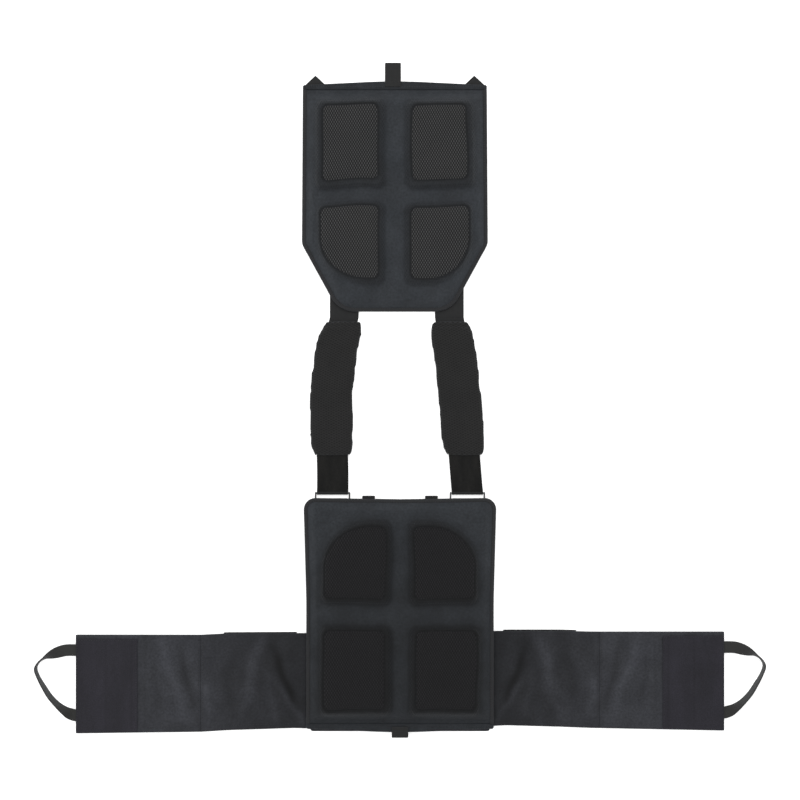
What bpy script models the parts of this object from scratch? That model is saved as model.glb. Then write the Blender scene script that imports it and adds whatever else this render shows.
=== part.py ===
"""Plate-carrier style body protector, laid open flat with its inner faces up.

A back panel and a chest panel hang on two padded shoulder straps, and a waist belt (the
cummerbund) runs under the back panel and spreads out to both sides.
Frame: +Z up, +Y from the back panel to the chest panel, +X to the right. The origin is the
middle of the underside of the whole object's box. All lengths are metres.
"""

import math

import bmesh
import bpy
from mathutils import Vector

# ---- clearances and cloth thicknesses ----
GAP = 0.0003
WEBBING = 0.0012
STEP_ANGLE = math.radians(18.5)

# ---- overall length: both pull tabs end here ----
HALF_LENGTH = 0.5255

# ---- heights of a panel's layers, above the panel's own underside ----
LIP = 0.0008
SHELL_LOW, SHELL_HIGH = 0.0011, 0.0023
FLANGE_LOW, FLANGE_HIGH = 0.0026, 0.0038
LIP_HIGH = 0.0041
PLATE_HIGH = 0.0105
SHEET_LOW, SHEET_HIGH = 0.0108, 0.0122
PAD_LOW, PAD_RIDGE, PAD_FLOOR = 0.0125, 0.0203, 0.0181
MESH_CROWN = 0.0221
FLAP_THICKNESS = 0.0016
TAB_THICKNESS = 0.0014

# ---- insets from a panel's edge ----
BINDING_WIDTH = 0.006
CLOTH_INSET = LIP + GAP
FLANGE_WIDTH = 0.0064
SHEET_INSET = 0.014
PLATE_INSET = 0.018

# ---- back panel ----
BACK_BASE = 0.0059
BACK_HALF_WIDTH = 0.146
BACK_SHOULDER_HALF_WIDTH = 0.1504
BACK_TOP_Y = -0.1523
BACK_TOP_DIP_Y = -0.1544
BACK_WAIST_Y = -0.310
BACK_END_Y, BACK_CROWN_Y = -0.513, -0.518
BACK_FLAP_Y = -0.505

# ---- chest panel ----
FRONT_X = -0.008
FRONT_BASE = 0.0015
FRONT_HALF_WIDTH = 0.145
FRONT_END_HALF_WIDTH = 0.1435
FRONT_NECK_HALF_WIDTH = 0.0873
FRONT_NECK_Y = 0.1377
FRONT_ARMHOLE_Y = 0.243
FRONT_END_Y, FRONT_CROWN_Y = 0.492, 0.498
FRONT_FLAP_Y = 0.485

# ---- pads, right-hand side of a panel's centre line: low x, high x, low y, high y ----
PAD_RADIUS, WINDOW_RADIUS = 0.013, 0.009
PAD_ARC, WINDOW_ARC = 0.077, 0.066
BACK_UPPER_PAD, BACK_UPPER_WINDOW = (0.013, 0.122, -0.318, -0.187), (0.022, 0.116, -0.308, -0.197)
BACK_LOWER_PAD, BACK_LOWER_WINDOW = (0.013, 0.1255, -0.4905, -0.351), (0.024, 0.118, -0.480, -0.358)
FRONT_UPPER_PAD, FRONT_UPPER_WINDOW = (0.015, 0.125, 0.328, 0.467), (0.026, 0.112, 0.342, 0.458)
FRONT_LOWER_PAD, FRONT_LOWER_WINDOW = (0.0155, 0.122, 0.178, 0.307), (0.026, 0.115, 0.188, 0.300)

# ---- strap rings and their keepers ----
RING_X = 0.1052
RING_Z = 0.0028
RING_WIRE = 0.0013
RING_BACK_Y, RING_FRONT_Y = -0.156, -0.145
RING_HALF_WIDTH = 0.0264
RING_CORNER = 0.0022
KEEPER_WIDTH = 0.046
KEEPER_END_Y = -0.190
LOOP_RADIUS = RING_WIRE + GAP + WEBBING / 2

# ---- shoulder straps: centre line and widths ----
STRAP_FRONT_Y = 0.129
STRAP_FRONT_Z = WEBBING / 2
STRAP_FRONT_X = {"left": -0.087, "right": 0.077}
STRAP_BOW = {"left": -0.0116, "right": 0.0035}
STRAP_BOW_SKEW = 1.4
STRAP_WIDTH_BACK, STRAP_WIDTH_FRONT = 0.0488, 0.045
STRAP_RUN_Z, STRAP_TAIL_Z = 0.0027, 0.0042
STRAP_TAIL_END_Y = -0.050
STRAP_LEVEL_Y = (-0.104, 0.100)
LOOP_TAPE = 0.0008
ANCHOR_END_Y = 0.205

# ---- shoulder pads: sleeves round the straps ----
SLEEVE_Y = (-0.089, 0.122)
SLEEVE_HALF_WIDTH, SLEEVE_END_HALF_WIDTH = 0.0335, 0.0282
SLEEVE_HEIGHT, SLEEVE_END_HEIGHT = 0.014, 0.0098
SLEEVE_TAPER = 0.030
CAVITY_HALF_WIDTH, CAVITY_END_HALF_WIDTH = 0.0290, 0.0258
CAVITY_LOW, CAVITY_HIGH = 0.0018, 0.0062
CAVITY_FRONT_LOW, CAVITY_FRONT_HIGH = 0.0006, 0.0040

# ---- cummerbund ----
BELT_Y = (-0.516, -0.364)
BELT_LOW, BELT_HIGH = 0.0017, 0.0042
WING_FOLD_X = 0.158
WRAP_FOLD_X = 0.405
WING_END_X = 0.506
OUTER_LAYER_END_X = 0.275
OUTER_LAYER_HIGH = 0.0014
HOOK_TAPE_HIGH = 0.0057

# ---- pull handles: route of the webbing's middle as x, y and lean in degrees from flat. The
# first and last points lie beyond its ends and only set its direction there ----
HANDLE_WIDTH = 0.018
HANDLE_THICKNESS = 0.0014
HANDLE_STEPS = 3
HANDLE_ROUTE = (
    (0.4960, -0.3880, 0),
    (0.5080, -0.3880, 0),
    (0.5200, -0.3880, 0),
    (0.5330, -0.3910, 15),
    (0.5440, -0.3950, 45),
    (0.5540, -0.3995, 78),
    (0.5630, -0.4065, 86),
    (0.5670, -0.4160, 86),
    (0.5625, -0.4290, 80),
    (0.5540, -0.4440, 66),
    (0.5450, -0.4580, 55),
    (0.5330, -0.4710, 52),
    (0.5200, -0.4815, 36),
    (0.5080, -0.4880, 0),
    (0.4960, -0.4880, 0),
)

# ---- drag handle on the back panel's outer face ----
DRAG_AXIS_Y, DRAG_AXIS_Z = -0.1497, 0.0042
DRAG_HALF_SPAN, DRAG_STRIP = 0.049, 0.020
DRAG_END_Y = -0.196
DRAG_THICKNESS = 0.0024

CLOTH = {
    "shell_fabric": ((0.020, 0.022, 0.025), 0.85),
    "liner_fabric": ((0.020, 0.022, 0.025), 0.82),
    "binding_fabric": ((0.012, 0.012, 0.012), 0.80),
    "spacer_mesh": ((0.006, 0.006, 0.006), 0.90),
    "foam": ((0.020, 0.022, 0.025), 0.85),
    "knit_mesh": ((0.010, 0.010, 0.010), 0.92),
    "webbing": ((0.014, 0.014, 0.014), 0.75),
    "loop_tape": ((0.004, 0.004, 0.004), 0.95),
    "hook_tape": ((0.020, 0.018, 0.024), 0.70),
    "belt_fabric": ((0.020, 0.022, 0.025), 0.85),
    "handle_webbing": ((0.030, 0.030, 0.028), 0.75),
    "armour_plate": ((0.030, 0.032, 0.034), 0.45),
    "black_wire": ((0.010, 0.010, 0.010), 0.30),
}


def clear_scene():
    for item in list(bpy.data.objects):
        bpy.data.objects.remove(item, do_unlink=True)


def material(name):
    """The material of that name, made on its first use."""
    found = bpy.data.materials.get(name)
    if found:
        return found
    colour, roughness = CLOTH[name]
    made = bpy.data.materials.new(name)
    made.use_nodes = True
    surface = made.node_tree.nodes["Principled BSDF"]
    surface.inputs["Base Color"].default_value = (*colour, 1.0)
    surface.inputs["Roughness"].default_value = roughness
    surface.inputs["Metallic"].default_value = 1.0 if name == "black_wire" else 0.0
    return made


def pivot(name, place, parent=None):
    """An empty on a joint's axis, at a place in the object's frame."""
    empty = bpy.data.objects.new(name, None)
    bpy.context.scene.collection.objects.link(empty)
    empty.parent = parent
    bpy.context.view_layer.update()
    start = parent.matrix_world.translation if parent else Vector()
    empty.location = Vector(place) - start
    bpy.context.view_layer.update()
    return empty


def loft(name, rings, slot, parent, cyclic=False):
    """A closed body through equal rings of points: capped at both ends, or joined in a circle."""
    start = parent.matrix_world.translation
    shape = bmesh.new()
    loops = [[shape.verts.new(Vector(point) - start) for point in ring] for ring in rings]
    steps = list(zip(loops, loops[1:]))
    if cyclic:
        steps.append((loops[-1], loops[0]))
    else:
        shape.faces.new(loops[0])
        shape.faces.new(loops[-1])
    for near, far in steps:
        for k in range(len(near)):
            shape.faces.new((near[k - 1], near[k], far[k], far[k - 1]))
    bmesh.ops.recalc_face_normals(shape, faces=shape.faces)
    mesh = bpy.data.meshes.new(name)
    shape.to_mesh(mesh)
    shape.free()
    mesh.materials.append(material(slot))
    mesh.shade_smooth()
    mesh.set_sharp_from_angle(angle=math.radians(35))
    item = bpy.data.objects.new(name, mesh)
    item.parent = parent
    bpy.context.scene.collection.objects.link(item)
    return item


def crossing(first, second):
    """Where two lines in the plan meet. A line is a point and a direction."""
    (point, along), (other, across) = first, second
    reach = (other - point).cross(across) / along.cross(across)
    return point + along * reach


def rounded(corners, inset=0.0, closed=True):
    """Anticlockwise outline through corners (x, y, radius), moved in by inset."""
    count = len(corners)
    places = [Vector(corner[:2]) for corner in corners]
    lines = []
    for k in range(count):
        along = (places[(k + 1) % count] - places[k]).normalized()
        inward = Vector((-along.y, along.x))
        lines.append((places[k] + inward * inset, along))
    points = []
    for k in range(count):
        before, after = lines[k - 1], lines[k]
        if not closed and k == 0:
            points.append(after[0])
            continue
        if not closed and k == count - 1:
            points.append(before[0] + before[1] * (places[k] - places[k - 1]).length)
            continue
        corner = crossing(before, after)
        radius = corners[k][2]
        if radius == 0:
            points.append(corner)
            continue
        turn = math.atan2(before[1].cross(after[1]), before[1].dot(after[1]))
        radius = max(radius - math.copysign(inset, turn), 0.0005)
        points += fillet(corner, before[1], turn, radius)
    return points


def fillet(corner, along, turn, radius):
    """Arc of that radius in a corner where the outline turns left by turn, or right if negative."""
    steps = max(2, math.ceil(abs(turn) / STEP_ANGLE))
    start = corner - along * radius * math.tan(abs(turn) / 2)
    centre = start + Vector((-along.y, along.x)) * math.copysign(radius, turn)
    arc = []
    for k in range(steps + 1):
        angle = turn * k / steps
        arm = start - centre
        arc.append(centre + Vector((
            arm.x * math.cos(angle) - arm.y * math.sin(angle),
            arm.x * math.sin(angle) + arm.y * math.cos(angle),
        )))
    return arc


def level(points, height, shift_x=0.0):
    """A plan outline lifted to a height, as points in space."""
    return [Vector((point.x + shift_x, point.y, height)) for point in points]


def slab(name, corners, low, high, slot, parent, inset=0.0, shift_x=0.0):
    """A flat sheet with that plan, between two heights, its edges softened."""
    soft = min(0.0003, (high - low) / 4)
    stack = ((soft, low), (0.0, low + soft), (0.0, high - soft), (soft, high))
    rings = [level(rounded(corners, inset + extra), z, shift_x) for extra, z in stack]
    return loft(name, rings, slot, parent)


def rectangle(low_x, high_x, low_y, high_y, radius):
    return [
        (low_x, low_y, radius),
        (high_x, low_y, radius),
        (high_x, high_y, radius),
        (low_x, high_y, radius),
    ]


def mirrored(corners):
    """The same outline on the other side of x = 0, still anticlockwise."""
    return [(-x, y, radius) for x, y, radius in reversed(corners)]


class Panel:
    """One padded panel: its plan, the height of its underside and the end where it opens."""

    def __init__(self, name, centre_x, base, edge, mouth, far_end):
        self.name = name
        self.centre_x = centre_x
        self.base = base
        self.edge = edge
        self.mouth_half_width, self.flap_y = mouth
        self.end_y, self.crown_y = far_end
        self.outward = math.copysign(1.0, self.end_y)
        self.cut_y = self.flap_y - self.outward * (FLAP_THICKNESS / 2 + GAP)
        self.start_x = -self.outward * self.mouth_half_width

    def bound_edge(self):
        """The edge that the binding covers, from one side of the mouth round to the other."""
        return [
            (self.start_x, self.cut_y, 0.0),
            *self.edge,
            (-self.start_x, self.cut_y, 0.0),
        ]

    def whole_edge(self):
        return [
            (self.start_x, self.end_y, 0.004),
            *self.edge,
            (-self.start_x, self.end_y, 0.004),
            (0.0, self.crown_y, 1.0),
        ]

    def z(self, height):
        return self.base + height


def panel_shell(panel, parent):
    slab(f"{panel.name}_outer_shell", panel.whole_edge(), panel.z(SHELL_LOW), panel.z(SHELL_HIGH),
         "shell_fabric", parent, CLOTH_INSET, panel.centre_x)


def panel_liner(panel, parent):
    """The moulded inner cloth: a flange round the edge, a slope and a raised flat sheet."""
    rise = 0.0008
    stack = (
        (SHEET_INSET + rise, SHEET_LOW),
        (FLANGE_WIDTH + rise, FLANGE_LOW),
        (CLOTH_INSET, FLANGE_LOW),
        (CLOTH_INSET, FLANGE_HIGH),
        (FLANGE_WIDTH, FLANGE_HIGH),
        (SHEET_INSET, SHEET_HIGH),
    )
    rings = [
        level(rounded(panel.bound_edge(), inset), panel.z(height), panel.centre_x)
        for inset, height in stack
    ]
    loft(f"{panel.name}_inner_liner", rings, "liner_fabric", parent)


def panel_binding(panel, parent):
    """A tape folded over the panel's edge, open at the mouth."""
    soft = LIP / 2
    top = LIP_HIGH + LIP
    profile = (
        (soft, 0.0),
        (BINDING_WIDTH, 0.0),
        (BINDING_WIDTH, LIP),
        (LIP, LIP),
        (LIP, LIP_HIGH),
        (BINDING_WIDTH, LIP_HIGH),
        (BINDING_WIDTH, top),
        (soft, top),
        (0.0, top - soft),
        (0.0, soft),
    )
    lines = [
        level(rounded(panel.bound_edge(), inset, closed=False), panel.z(height), panel.centre_x)
        for inset, height in profile
    ]
    loft(f"{panel.name}_edge_binding", list(zip(*lines)), "binding_fabric", parent)


def panel_plate(panel, parent):
    slab(f"{panel.name}_armour_plate", panel.bound_edge(), panel.z(FLANGE_LOW), panel.z(PLATE_HIGH),
         "armour_plate", parent, PLATE_INSET, panel.centre_x)


def pad_outline(box, radius, arc, arc_corner):
    """A pad's plan on the right-hand side. One corner may be a wide arc, counted from low x, low y."""
    corners = rectangle(*box, radius)
    if arc_corner is not None:
        x, y, _ = corners[arc_corner]
        corners[arc_corner] = (x, y, arc)
    return corners


def panel_pads(panel, pads, parent):
    """The foam pads with raised rims, and the mesh windows set into them."""
    for place, (box, window_box, arc_corner) in pads.items():
        outer = pad_outline(box, PAD_RADIUS, PAD_ARC, arc_corner)
        window = pad_outline(window_box, WINDOW_RADIUS, WINDOW_ARC, arc_corner)
        for side in ("left", "right"):
            if side == "left":
                outlines = mirrored(outer), mirrored(window)
            else:
                outlines = outer, window
            foam_pad(f"{panel.name}_pad_{place}_{side}", panel, *outlines, parent)
            mesh_window(f"{panel.name}_mesh_{place}_{side}", panel, outlines[1], parent)


def foam_pad(name, panel, outer, window, parent):
    stack = (
        (outer, 0.0, PAD_LOW),
        (outer, 0.0, PAD_LOW + 0.0010),
        (outer, 0.0025, PAD_RIDGE - 0.0015),
        (outer, 0.0040, PAD_RIDGE),
        (window, -0.0008, PAD_RIDGE),
        (window, 0.0, PAD_RIDGE - 0.0008),
        (window, 0.0, PAD_FLOOR),
    )
    rings = [
        level(rounded(corners, inset), panel.z(height), panel.centre_x)
        for corners, inset, height in stack
    ]
    loft(name, rings, "foam", parent)


def mesh_window(name, panel, window, parent):
    stack = (
        (GAP, PAD_FLOOR + GAP),
        (GAP, PAD_RIDGE - 0.0004),
        (0.0040, MESH_CROWN - 0.0008),
        (0.0140, MESH_CROWN),
    )
    rings = [
        level(rounded(window, inset), panel.z(height), panel.centre_x)
        for inset, height in stack
    ]
    loft(name, rings, "spacer_mesh", parent)


def closure_flap(panel, parent):
    """The strip that closes the plate pocket, with a round edge on its hinge line."""
    radius = FLAP_THICKNESS / 2
    middle = panel.z(FLANGE_LOW) + radius
    half = panel.mouth_half_width
    sections = (
        (-half, panel.end_y - panel.outward * 0.003),
        (-half + 0.003, panel.end_y),
        (0.0, panel.crown_y),
        (half - 0.003, panel.end_y),
        (half, panel.end_y - panel.outward * 0.003),
    )
    rings = []
    for x, far_y in sections:
        ring = [
            (x + panel.centre_x, far_y, middle - radius),
            (x + panel.centre_x, far_y, middle + radius),
        ]
        for k in range(7):
            angle = math.radians(90 + 30 * k)
            y = panel.flap_y + panel.outward * radius * math.cos(angle)
            ring.append((x + panel.centre_x, y, middle + radius * math.sin(angle)))
        rings.append(ring)
    loft(f"{panel.name}_closure_flap", rings, "shell_fabric", parent)


def pull_tab(panel, width, parent):
    low = panel.z(FLANGE_LOW) + FLAP_THICKNESS + GAP
    ends = sorted((panel.flap_y + panel.outward * 0.003, panel.outward * HALF_LENGTH))
    corners = rectangle(-width / 2, width / 2, *ends, 0.0012)
    slab(f"{panel.name}_pull_tab", corners, low, low + TAB_THICKNESS, "webbing", parent,
         shift_x=panel.centre_x)


def back_panel():
    edge = [
        (BACK_HALF_WIDTH, BACK_WAIST_Y, 1.0),
        (BACK_SHOULDER_HALF_WIDTH, BACK_TOP_Y, 0.018),
        (0.0, BACK_TOP_DIP_Y, 0.0),
    ]
    edge += mirrored(edge[:2])
    return Panel("back", 0.0, BACK_BASE, edge, (BACK_HALF_WIDTH, BACK_FLAP_Y),
                 (BACK_END_Y, BACK_CROWN_Y))


def front_panel():
    edge = [
        (FRONT_NECK_HALF_WIDTH, FRONT_NECK_Y, 0.043),
        (FRONT_HALF_WIDTH, FRONT_ARMHOLE_Y, 0.020),
    ]
    edge = mirrored(edge) + edge
    return Panel("front", FRONT_X, FRONT_BASE, edge, (FRONT_END_HALF_WIDTH, FRONT_FLAP_Y),
                 (FRONT_END_Y, FRONT_CROWN_Y))


def build_panel(panel, pads, tab_width, body, flap_body):
    panel_shell(panel, body)
    panel_liner(panel, body)
    panel_plate(panel, body)
    panel_binding(panel, body)
    panel_pads(panel, pads, body)
    closure_flap(panel, flap_body)
    pull_tab(panel, tab_width, flap_body)


def flap_pivot(panel, parent):
    height = panel.z(FLANGE_LOW) + FLAP_THICKNESS / 2
    return pivot(f"{panel.name}_flap_axis", (panel.centre_x, panel.flap_y, height), parent)


def strap_centre(side, y):
    """The x of a strap's middle: a line from ring to chest panel with a lopsided bow."""
    sign = -1 if side == "left" else 1
    share = (y - RING_FRONT_Y) / (STRAP_FRONT_Y - RING_FRONT_Y)
    share = min(max(share, 0.0), 1.0)
    straight = sign * RING_X * (1 - share) + STRAP_FRONT_X[side] * share
    return straight + STRAP_BOW[side] * math.sin(math.pi * share ** STRAP_BOW_SKEW)


def strap_width(y):
    """Full width at the ring, easing to the narrower chest end inside the shoulder pad."""
    share = min(max((y + 0.08) / 0.14, 0.0), 1.0)
    return STRAP_WIDTH_BACK * (1 - share) + STRAP_WIDTH_FRONT * share


def strip(name, path, thickness, centre, width, slot, parent):
    """Flat webbing along a path of (y, z) points. A third value thins it at a round end."""
    rings = []
    for k, (y, z, *thin) in enumerate(path):
        before, after = path[max(k - 1, 0)], path[min(k + 1, len(path) - 1)]
        along = Vector((after[0] - before[0], after[1] - before[1])).normalized()
        out = Vector((-along.y, along.x)) * (thin[0] if thin else thickness) / 2
        half = width(y) / 2
        x = centre(y)
        rings.append([
            (x - half, y - out.x, z - out.y),
            (x + half, y - out.x, z - out.y),
            (x + half, y + out.x, z + out.y),
            (x - half, y + out.x, z + out.y),
        ])
    loft(name, rings, slot, parent)


def round_end(y, z, direction, thickness):
    """Points that finish a strip in a half-round whose middle is on the hinge axis."""
    radius = thickness / 2
    ends = []
    for angle in (math.radians(30), math.radians(55), math.radians(78)):
        ends.append((y + direction * radius * math.sin(angle), z, thickness * math.cos(angle)))
    return ends


def turn_round_bar(bar_y):
    """Half turn of webbing round a ring's bar, on its -Y side, from the top to the underside."""
    points = []
    for k in range(7):
        angle = math.radians(90 + 30 * k)
        points.append((bar_y + LOOP_RADIUS * math.cos(angle), RING_Z + LOOP_RADIUS * math.sin(angle)))
    return points


def strap_ring(side, parent):
    """A flat rectangular wire ring."""
    centre = (-RING_X if side == "left" else RING_X)
    corners = rectangle(centre - RING_HALF_WIDTH, centre + RING_HALF_WIDTH,
                        RING_BACK_Y, RING_FRONT_Y, RING_CORNER)
    lines = []
    for k in range(8):
        angle = math.tau * k / 8
        inset = RING_WIRE * math.cos(angle)
        lines.append(level(rounded(corners, inset), RING_Z + RING_WIRE * math.sin(angle)))
    loft(f"strap_ring_{side}", list(zip(*lines)), "black_wire", parent, cyclic=True)


def ring_keeper(side, parent):
    """Webbing sewn to the back panel's outer face, folded round the ring's lower bar."""
    centre = (-RING_X if side == "left" else RING_X)
    turn = [(2 * RING_BACK_Y - y, z) for y, z in turn_round_bar(RING_BACK_Y)]
    path = [
        (KEEPER_END_Y, RING_Z + LOOP_RADIUS),
        *turn,
        (KEEPER_END_Y, RING_Z - LOOP_RADIUS),
    ]
    strip(f"ring_keeper_{side}", path, WEBBING, lambda y: centre, lambda y: KEEPER_WIDTH,
          "webbing", parent)


def strap_webbing(side, parent):
    """One webbing: from its tail in the shoulder pad, round the ring and on to the chest panel."""
    low_y, high_y = STRAP_LEVEL_Y
    flat_y = RING_FRONT_Y + 0.007
    turn = turn_round_bar(RING_FRONT_Y)
    path = [
        (STRAP_TAIL_END_Y, STRAP_TAIL_Z),
        (-0.078, STRAP_TAIL_Z),
        (low_y, STRAP_TAIL_Z),
        (-0.121, (STRAP_TAIL_Z + turn[0][1]) / 2),
        (flat_y, turn[0][1]),
        *turn,
        (flat_y, turn[-1][1]),
        (-0.121, (STRAP_RUN_Z + turn[-1][1]) / 2),
        (low_y, STRAP_RUN_Z),
    ]
    runs = 9
    for k in range(1, runs + 1):
        path.append((low_y + (high_y - low_y) * k / runs, STRAP_RUN_Z))
    path.append((0.122, 0.0015))
    path.append((STRAP_FRONT_Y, STRAP_FRONT_Z))
    path += round_end(STRAP_FRONT_Y, STRAP_FRONT_Z, 1, WEBBING)
    strip(f"strap_webbing_{side}", path, WEBBING, lambda y: strap_centre(side, y), strap_width,
          "webbing", parent)


def strap_loop_tape(side, parent):
    """Loop tape on the strap's upper face, between the ring and the shoulder pad's inside."""
    lift = WEBBING / 2 + GAP + LOOP_TAPE / 2
    top = RING_Z + LOOP_RADIUS
    path = [
        (STRAP_TAIL_END_Y, STRAP_TAIL_Z + lift),
        (-0.078, STRAP_TAIL_Z + lift),
        (STRAP_LEVEL_Y[0], STRAP_TAIL_Z + lift),
        (-0.121, (STRAP_TAIL_Z + top) / 2 + lift),
        (RING_FRONT_Y + 0.007, top + lift),
        (RING_FRONT_Y + 0.002, top + lift),
    ]
    strip(f"strap_loop_tape_{side}", path, LOOP_TAPE, lambda y: strap_centre(side, y), strap_width,
          "loop_tape", parent)


def strap_anchor(side, parent):
    """The chest panel's own end of the strap, sewn to its outer face."""
    near = STRAP_FRONT_Y + WEBBING / 2 + GAP
    x = STRAP_FRONT_X[side]
    half = STRAP_WIDTH_FRONT / 2
    corners = rectangle(x - half, x + half, near, ANCHOR_END_Y, 0.0)
    slab(f"strap_anchor_{side}", corners, 0.0, WEBBING, "webbing", parent)


def share_to(value, start, end):
    """How far value is from start to end, held between 0 and 1."""
    return min(max((value - start) / (end - start), 0.0), 1.0)


def blend(low, high, share):
    return low + (high - low) * share


def rounded_section(x, y, half_width, low, high):
    """A soft tube's outline across the strap, 16 points: rounded above and flat below."""
    ring = []
    for k in range(16):
        angle = math.tau * k / 16
        across, up = math.cos(angle), math.sin(angle)
        across = math.copysign(abs(across) ** (0.06 if up < -0.01 else 0.55), across)
        up = math.copysign(abs(up) ** 0.75, up)
        ring.append((x + half_width * across, y, (low + high) / 2 + (high - low) / 2 * up))
    return ring


def slot_section(x, y, half_width, low, high):
    """A rectangular slot's outline, with points that pair with rounded_section's."""
    ring = []
    for k in range(16):
        angle = math.tau * k / 16
        across, up = math.cos(angle), math.sin(angle)
        reach = max(abs(across), abs(up))
        ring.append((
            x + half_width * across / reach,
            y,
            (low + high) / 2 + (high - low) / 2 * up / reach,
        ))
    return ring


def shoulder_pad(side, parent):
    """A padded sleeve round the strap, narrower and lower at both ends."""
    low_y, high_y = SLEEVE_Y
    places = (0.0, 0.045, 0.14, 0.29, 0.44, 0.58, 0.72, 0.86, 0.955, 1.0)
    outside, inside = [], []
    for place in places:
        y = blend(low_y, high_y, place)
        edge = min(y - low_y, high_y - y)
        full = math.sin(share_to(edge, 0.0, SLEEVE_TAPER) * math.pi / 2)
        front = share_to(y, high_y - SLEEVE_TAPER, high_y)
        x = strap_centre(side, y)
        outside.append(rounded_section(
            x, y, blend(SLEEVE_END_HALF_WIDTH, SLEEVE_HALF_WIDTH, full), 0.0,
            blend(SLEEVE_END_HEIGHT, SLEEVE_HEIGHT, full)))
        inside.append(slot_section(
            x, y, blend(CAVITY_END_HALF_WIDTH, CAVITY_HALF_WIDTH, full),
            blend(CAVITY_LOW, CAVITY_FRONT_LOW, front),
            blend(CAVITY_HIGH, CAVITY_FRONT_HIGH, front)))
    loft(f"shoulder_pad_{side}", outside + inside[::-1], "knit_mesh", parent, cyclic=True)


def drag_handle(parent):
    """Doubled webbing in a U below the back panel, its two ends on the hinge line."""
    radius = DRAG_THICKNESS / 2
    outer = DRAG_HALF_SPAN + DRAG_STRIP / 2
    inner = DRAG_HALF_SPAN - DRAG_STRIP / 2
    bend = 0.009
    route = [
        (outer, DRAG_AXIS_Y, inner, DRAG_AXIS_Y),
        (outer, DRAG_END_Y + bend, inner, DRAG_END_Y + DRAG_STRIP),
        (outer - bend, DRAG_END_Y, inner - 0.0005, DRAG_END_Y + DRAG_STRIP),
    ]
    route += [(-a, b, -c, d) for a, b, c, d in reversed(route)]
    rings = []
    for out_x, out_y, in_x, in_y in route:
        rings.append([
            (out_x, out_y, DRAG_AXIS_Z - radius),
            (in_x, in_y, DRAG_AXIS_Z - radius),
            (in_x, in_y, DRAG_AXIS_Z + radius),
            (out_x, out_y, DRAG_AXIS_Z + radius),
        ])
    for angle in (math.radians(30), math.radians(55), math.radians(78)):
        lift = radius * math.cos(angle)
        y = DRAG_AXIS_Y + radius * math.sin(angle)
        for sign in (1, -1):
            ring = [
                (sign * outer, y, DRAG_AXIS_Z - lift),
                (sign * inner, y, DRAG_AXIS_Z - lift),
                (sign * inner, y, DRAG_AXIS_Z + lift),
                (sign * outer, y, DRAG_AXIS_Z + lift),
            ]
            rings.insert(0 if sign > 0 else len(rings), ring)
    loft("drag_handle", rings, "webbing", parent)


def corner_tabs(parent):
    """Folded webbing tips that stick out past the chest panel's far corners."""
    reach, half = 0.124, 0.0165
    low = FRONT_BASE + SHELL_LOW - GAP - 0.0013
    for side, sign in (("left", -1), ("right", 1)):
        x = sign * reach
        corners = [
            (x - half, FRONT_FLAP_Y, 0.001),
            (x + half, FRONT_FLAP_Y, 0.001),
            (x + half, 0.491, 0.002),
            (x, 0.5065, 0.002),
            (x - half, 0.491, 0.002),
        ]
        slab(f"corner_tab_{side}", corners, low, low + 0.0013, "webbing", parent, shift_x=FRONT_X)


def front_loop_field(parent):
    """Loop-faced sheet on the chest panel's outer face, which the cummerbund's hooks grip."""
    corners = rectangle(-0.115, 0.115, 0.215, 0.440, 0.008)
    high = FRONT_BASE + SHELL_LOW - GAP
    slab("front_loop_field", corners, 0.0, high, "loop_tape", parent, shift_x=FRONT_X)


def cummerbund_core(parent):
    """What lies under the back panel: a cover sheet, the belt's middle and its grip tape."""
    low_y, high_y = BELT_Y
    reach = WING_FOLD_X - (BELT_HIGH - BELT_LOW) / 2 - GAP
    cover = rectangle(-0.140, 0.140, low_y - 0.001, high_y + 0.012, 0.004)
    slab("cummerbund_sleeve", cover, 0.0, OUTER_LAYER_HIGH, "shell_fabric", parent)
    slab("cummerbund_centre", rectangle(-reach, reach, low_y, high_y, 0.0), BELT_LOW, BELT_HIGH,
         "belt_fabric", parent)
    grip = rectangle(-0.130, 0.130, low_y + 0.010, high_y - 0.008, 0.002)
    slab("cummerbund_grip_tape", grip, BELT_HIGH + GAP, BACK_BASE + SHELL_LOW - GAP,
         "hook_tape", parent)


def belt_length(name, sign, near_x, far_x, parent):
    """A length of the belt. Its near end is half-round on its fold's axis."""
    low_y, high_y = BELT_Y
    radius = (BELT_HIGH - BELT_LOW) / 2
    middle = BELT_LOW + radius
    rings = []
    for y in (low_y, high_y):
        ring = [(sign * far_x, y, BELT_LOW), (sign * far_x, y, BELT_HIGH)]
        for k in range(7):
            angle = math.radians(90 + 30 * k)
            ring.append((sign * (near_x + radius * math.cos(angle)), y,
                         middle + radius * math.sin(angle)))
        rings.append(ring)
    loft(name, rings, "belt_fabric", parent)


def wing(side, sign, body, end_body, handle_body):
    low_y, high_y = BELT_Y
    radius = (BELT_HIGH - BELT_LOW) / 2
    belt_length(f"wing_panel_{side}", sign, WING_FOLD_X, WRAP_FOLD_X - radius - GAP, body)
    layer = rectangle(WING_FOLD_X + 0.002, OUTER_LAYER_END_X, low_y, high_y + 0.0015, 0.0)
    layer = layer if sign > 0 else mirrored(layer)
    slab(f"wing_outer_layer_{side}", layer, 0.0, OUTER_LAYER_HIGH, "shell_fabric", body)
    belt_length(f"wing_end_{side}", sign, WRAP_FOLD_X, WING_END_X, end_body)
    tape = rectangle(WRAP_FOLD_X + 0.003, WING_END_X - 0.001, low_y + 0.001, high_y - 0.001, 0.001)
    tape = tape if sign > 0 else mirrored(tape)
    slab(f"hook_tape_{side}", tape, BELT_HIGH + GAP, HOOK_TAPE_HIGH, "hook_tape", end_body)
    pull_handle(side, sign, handle_body)


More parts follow.
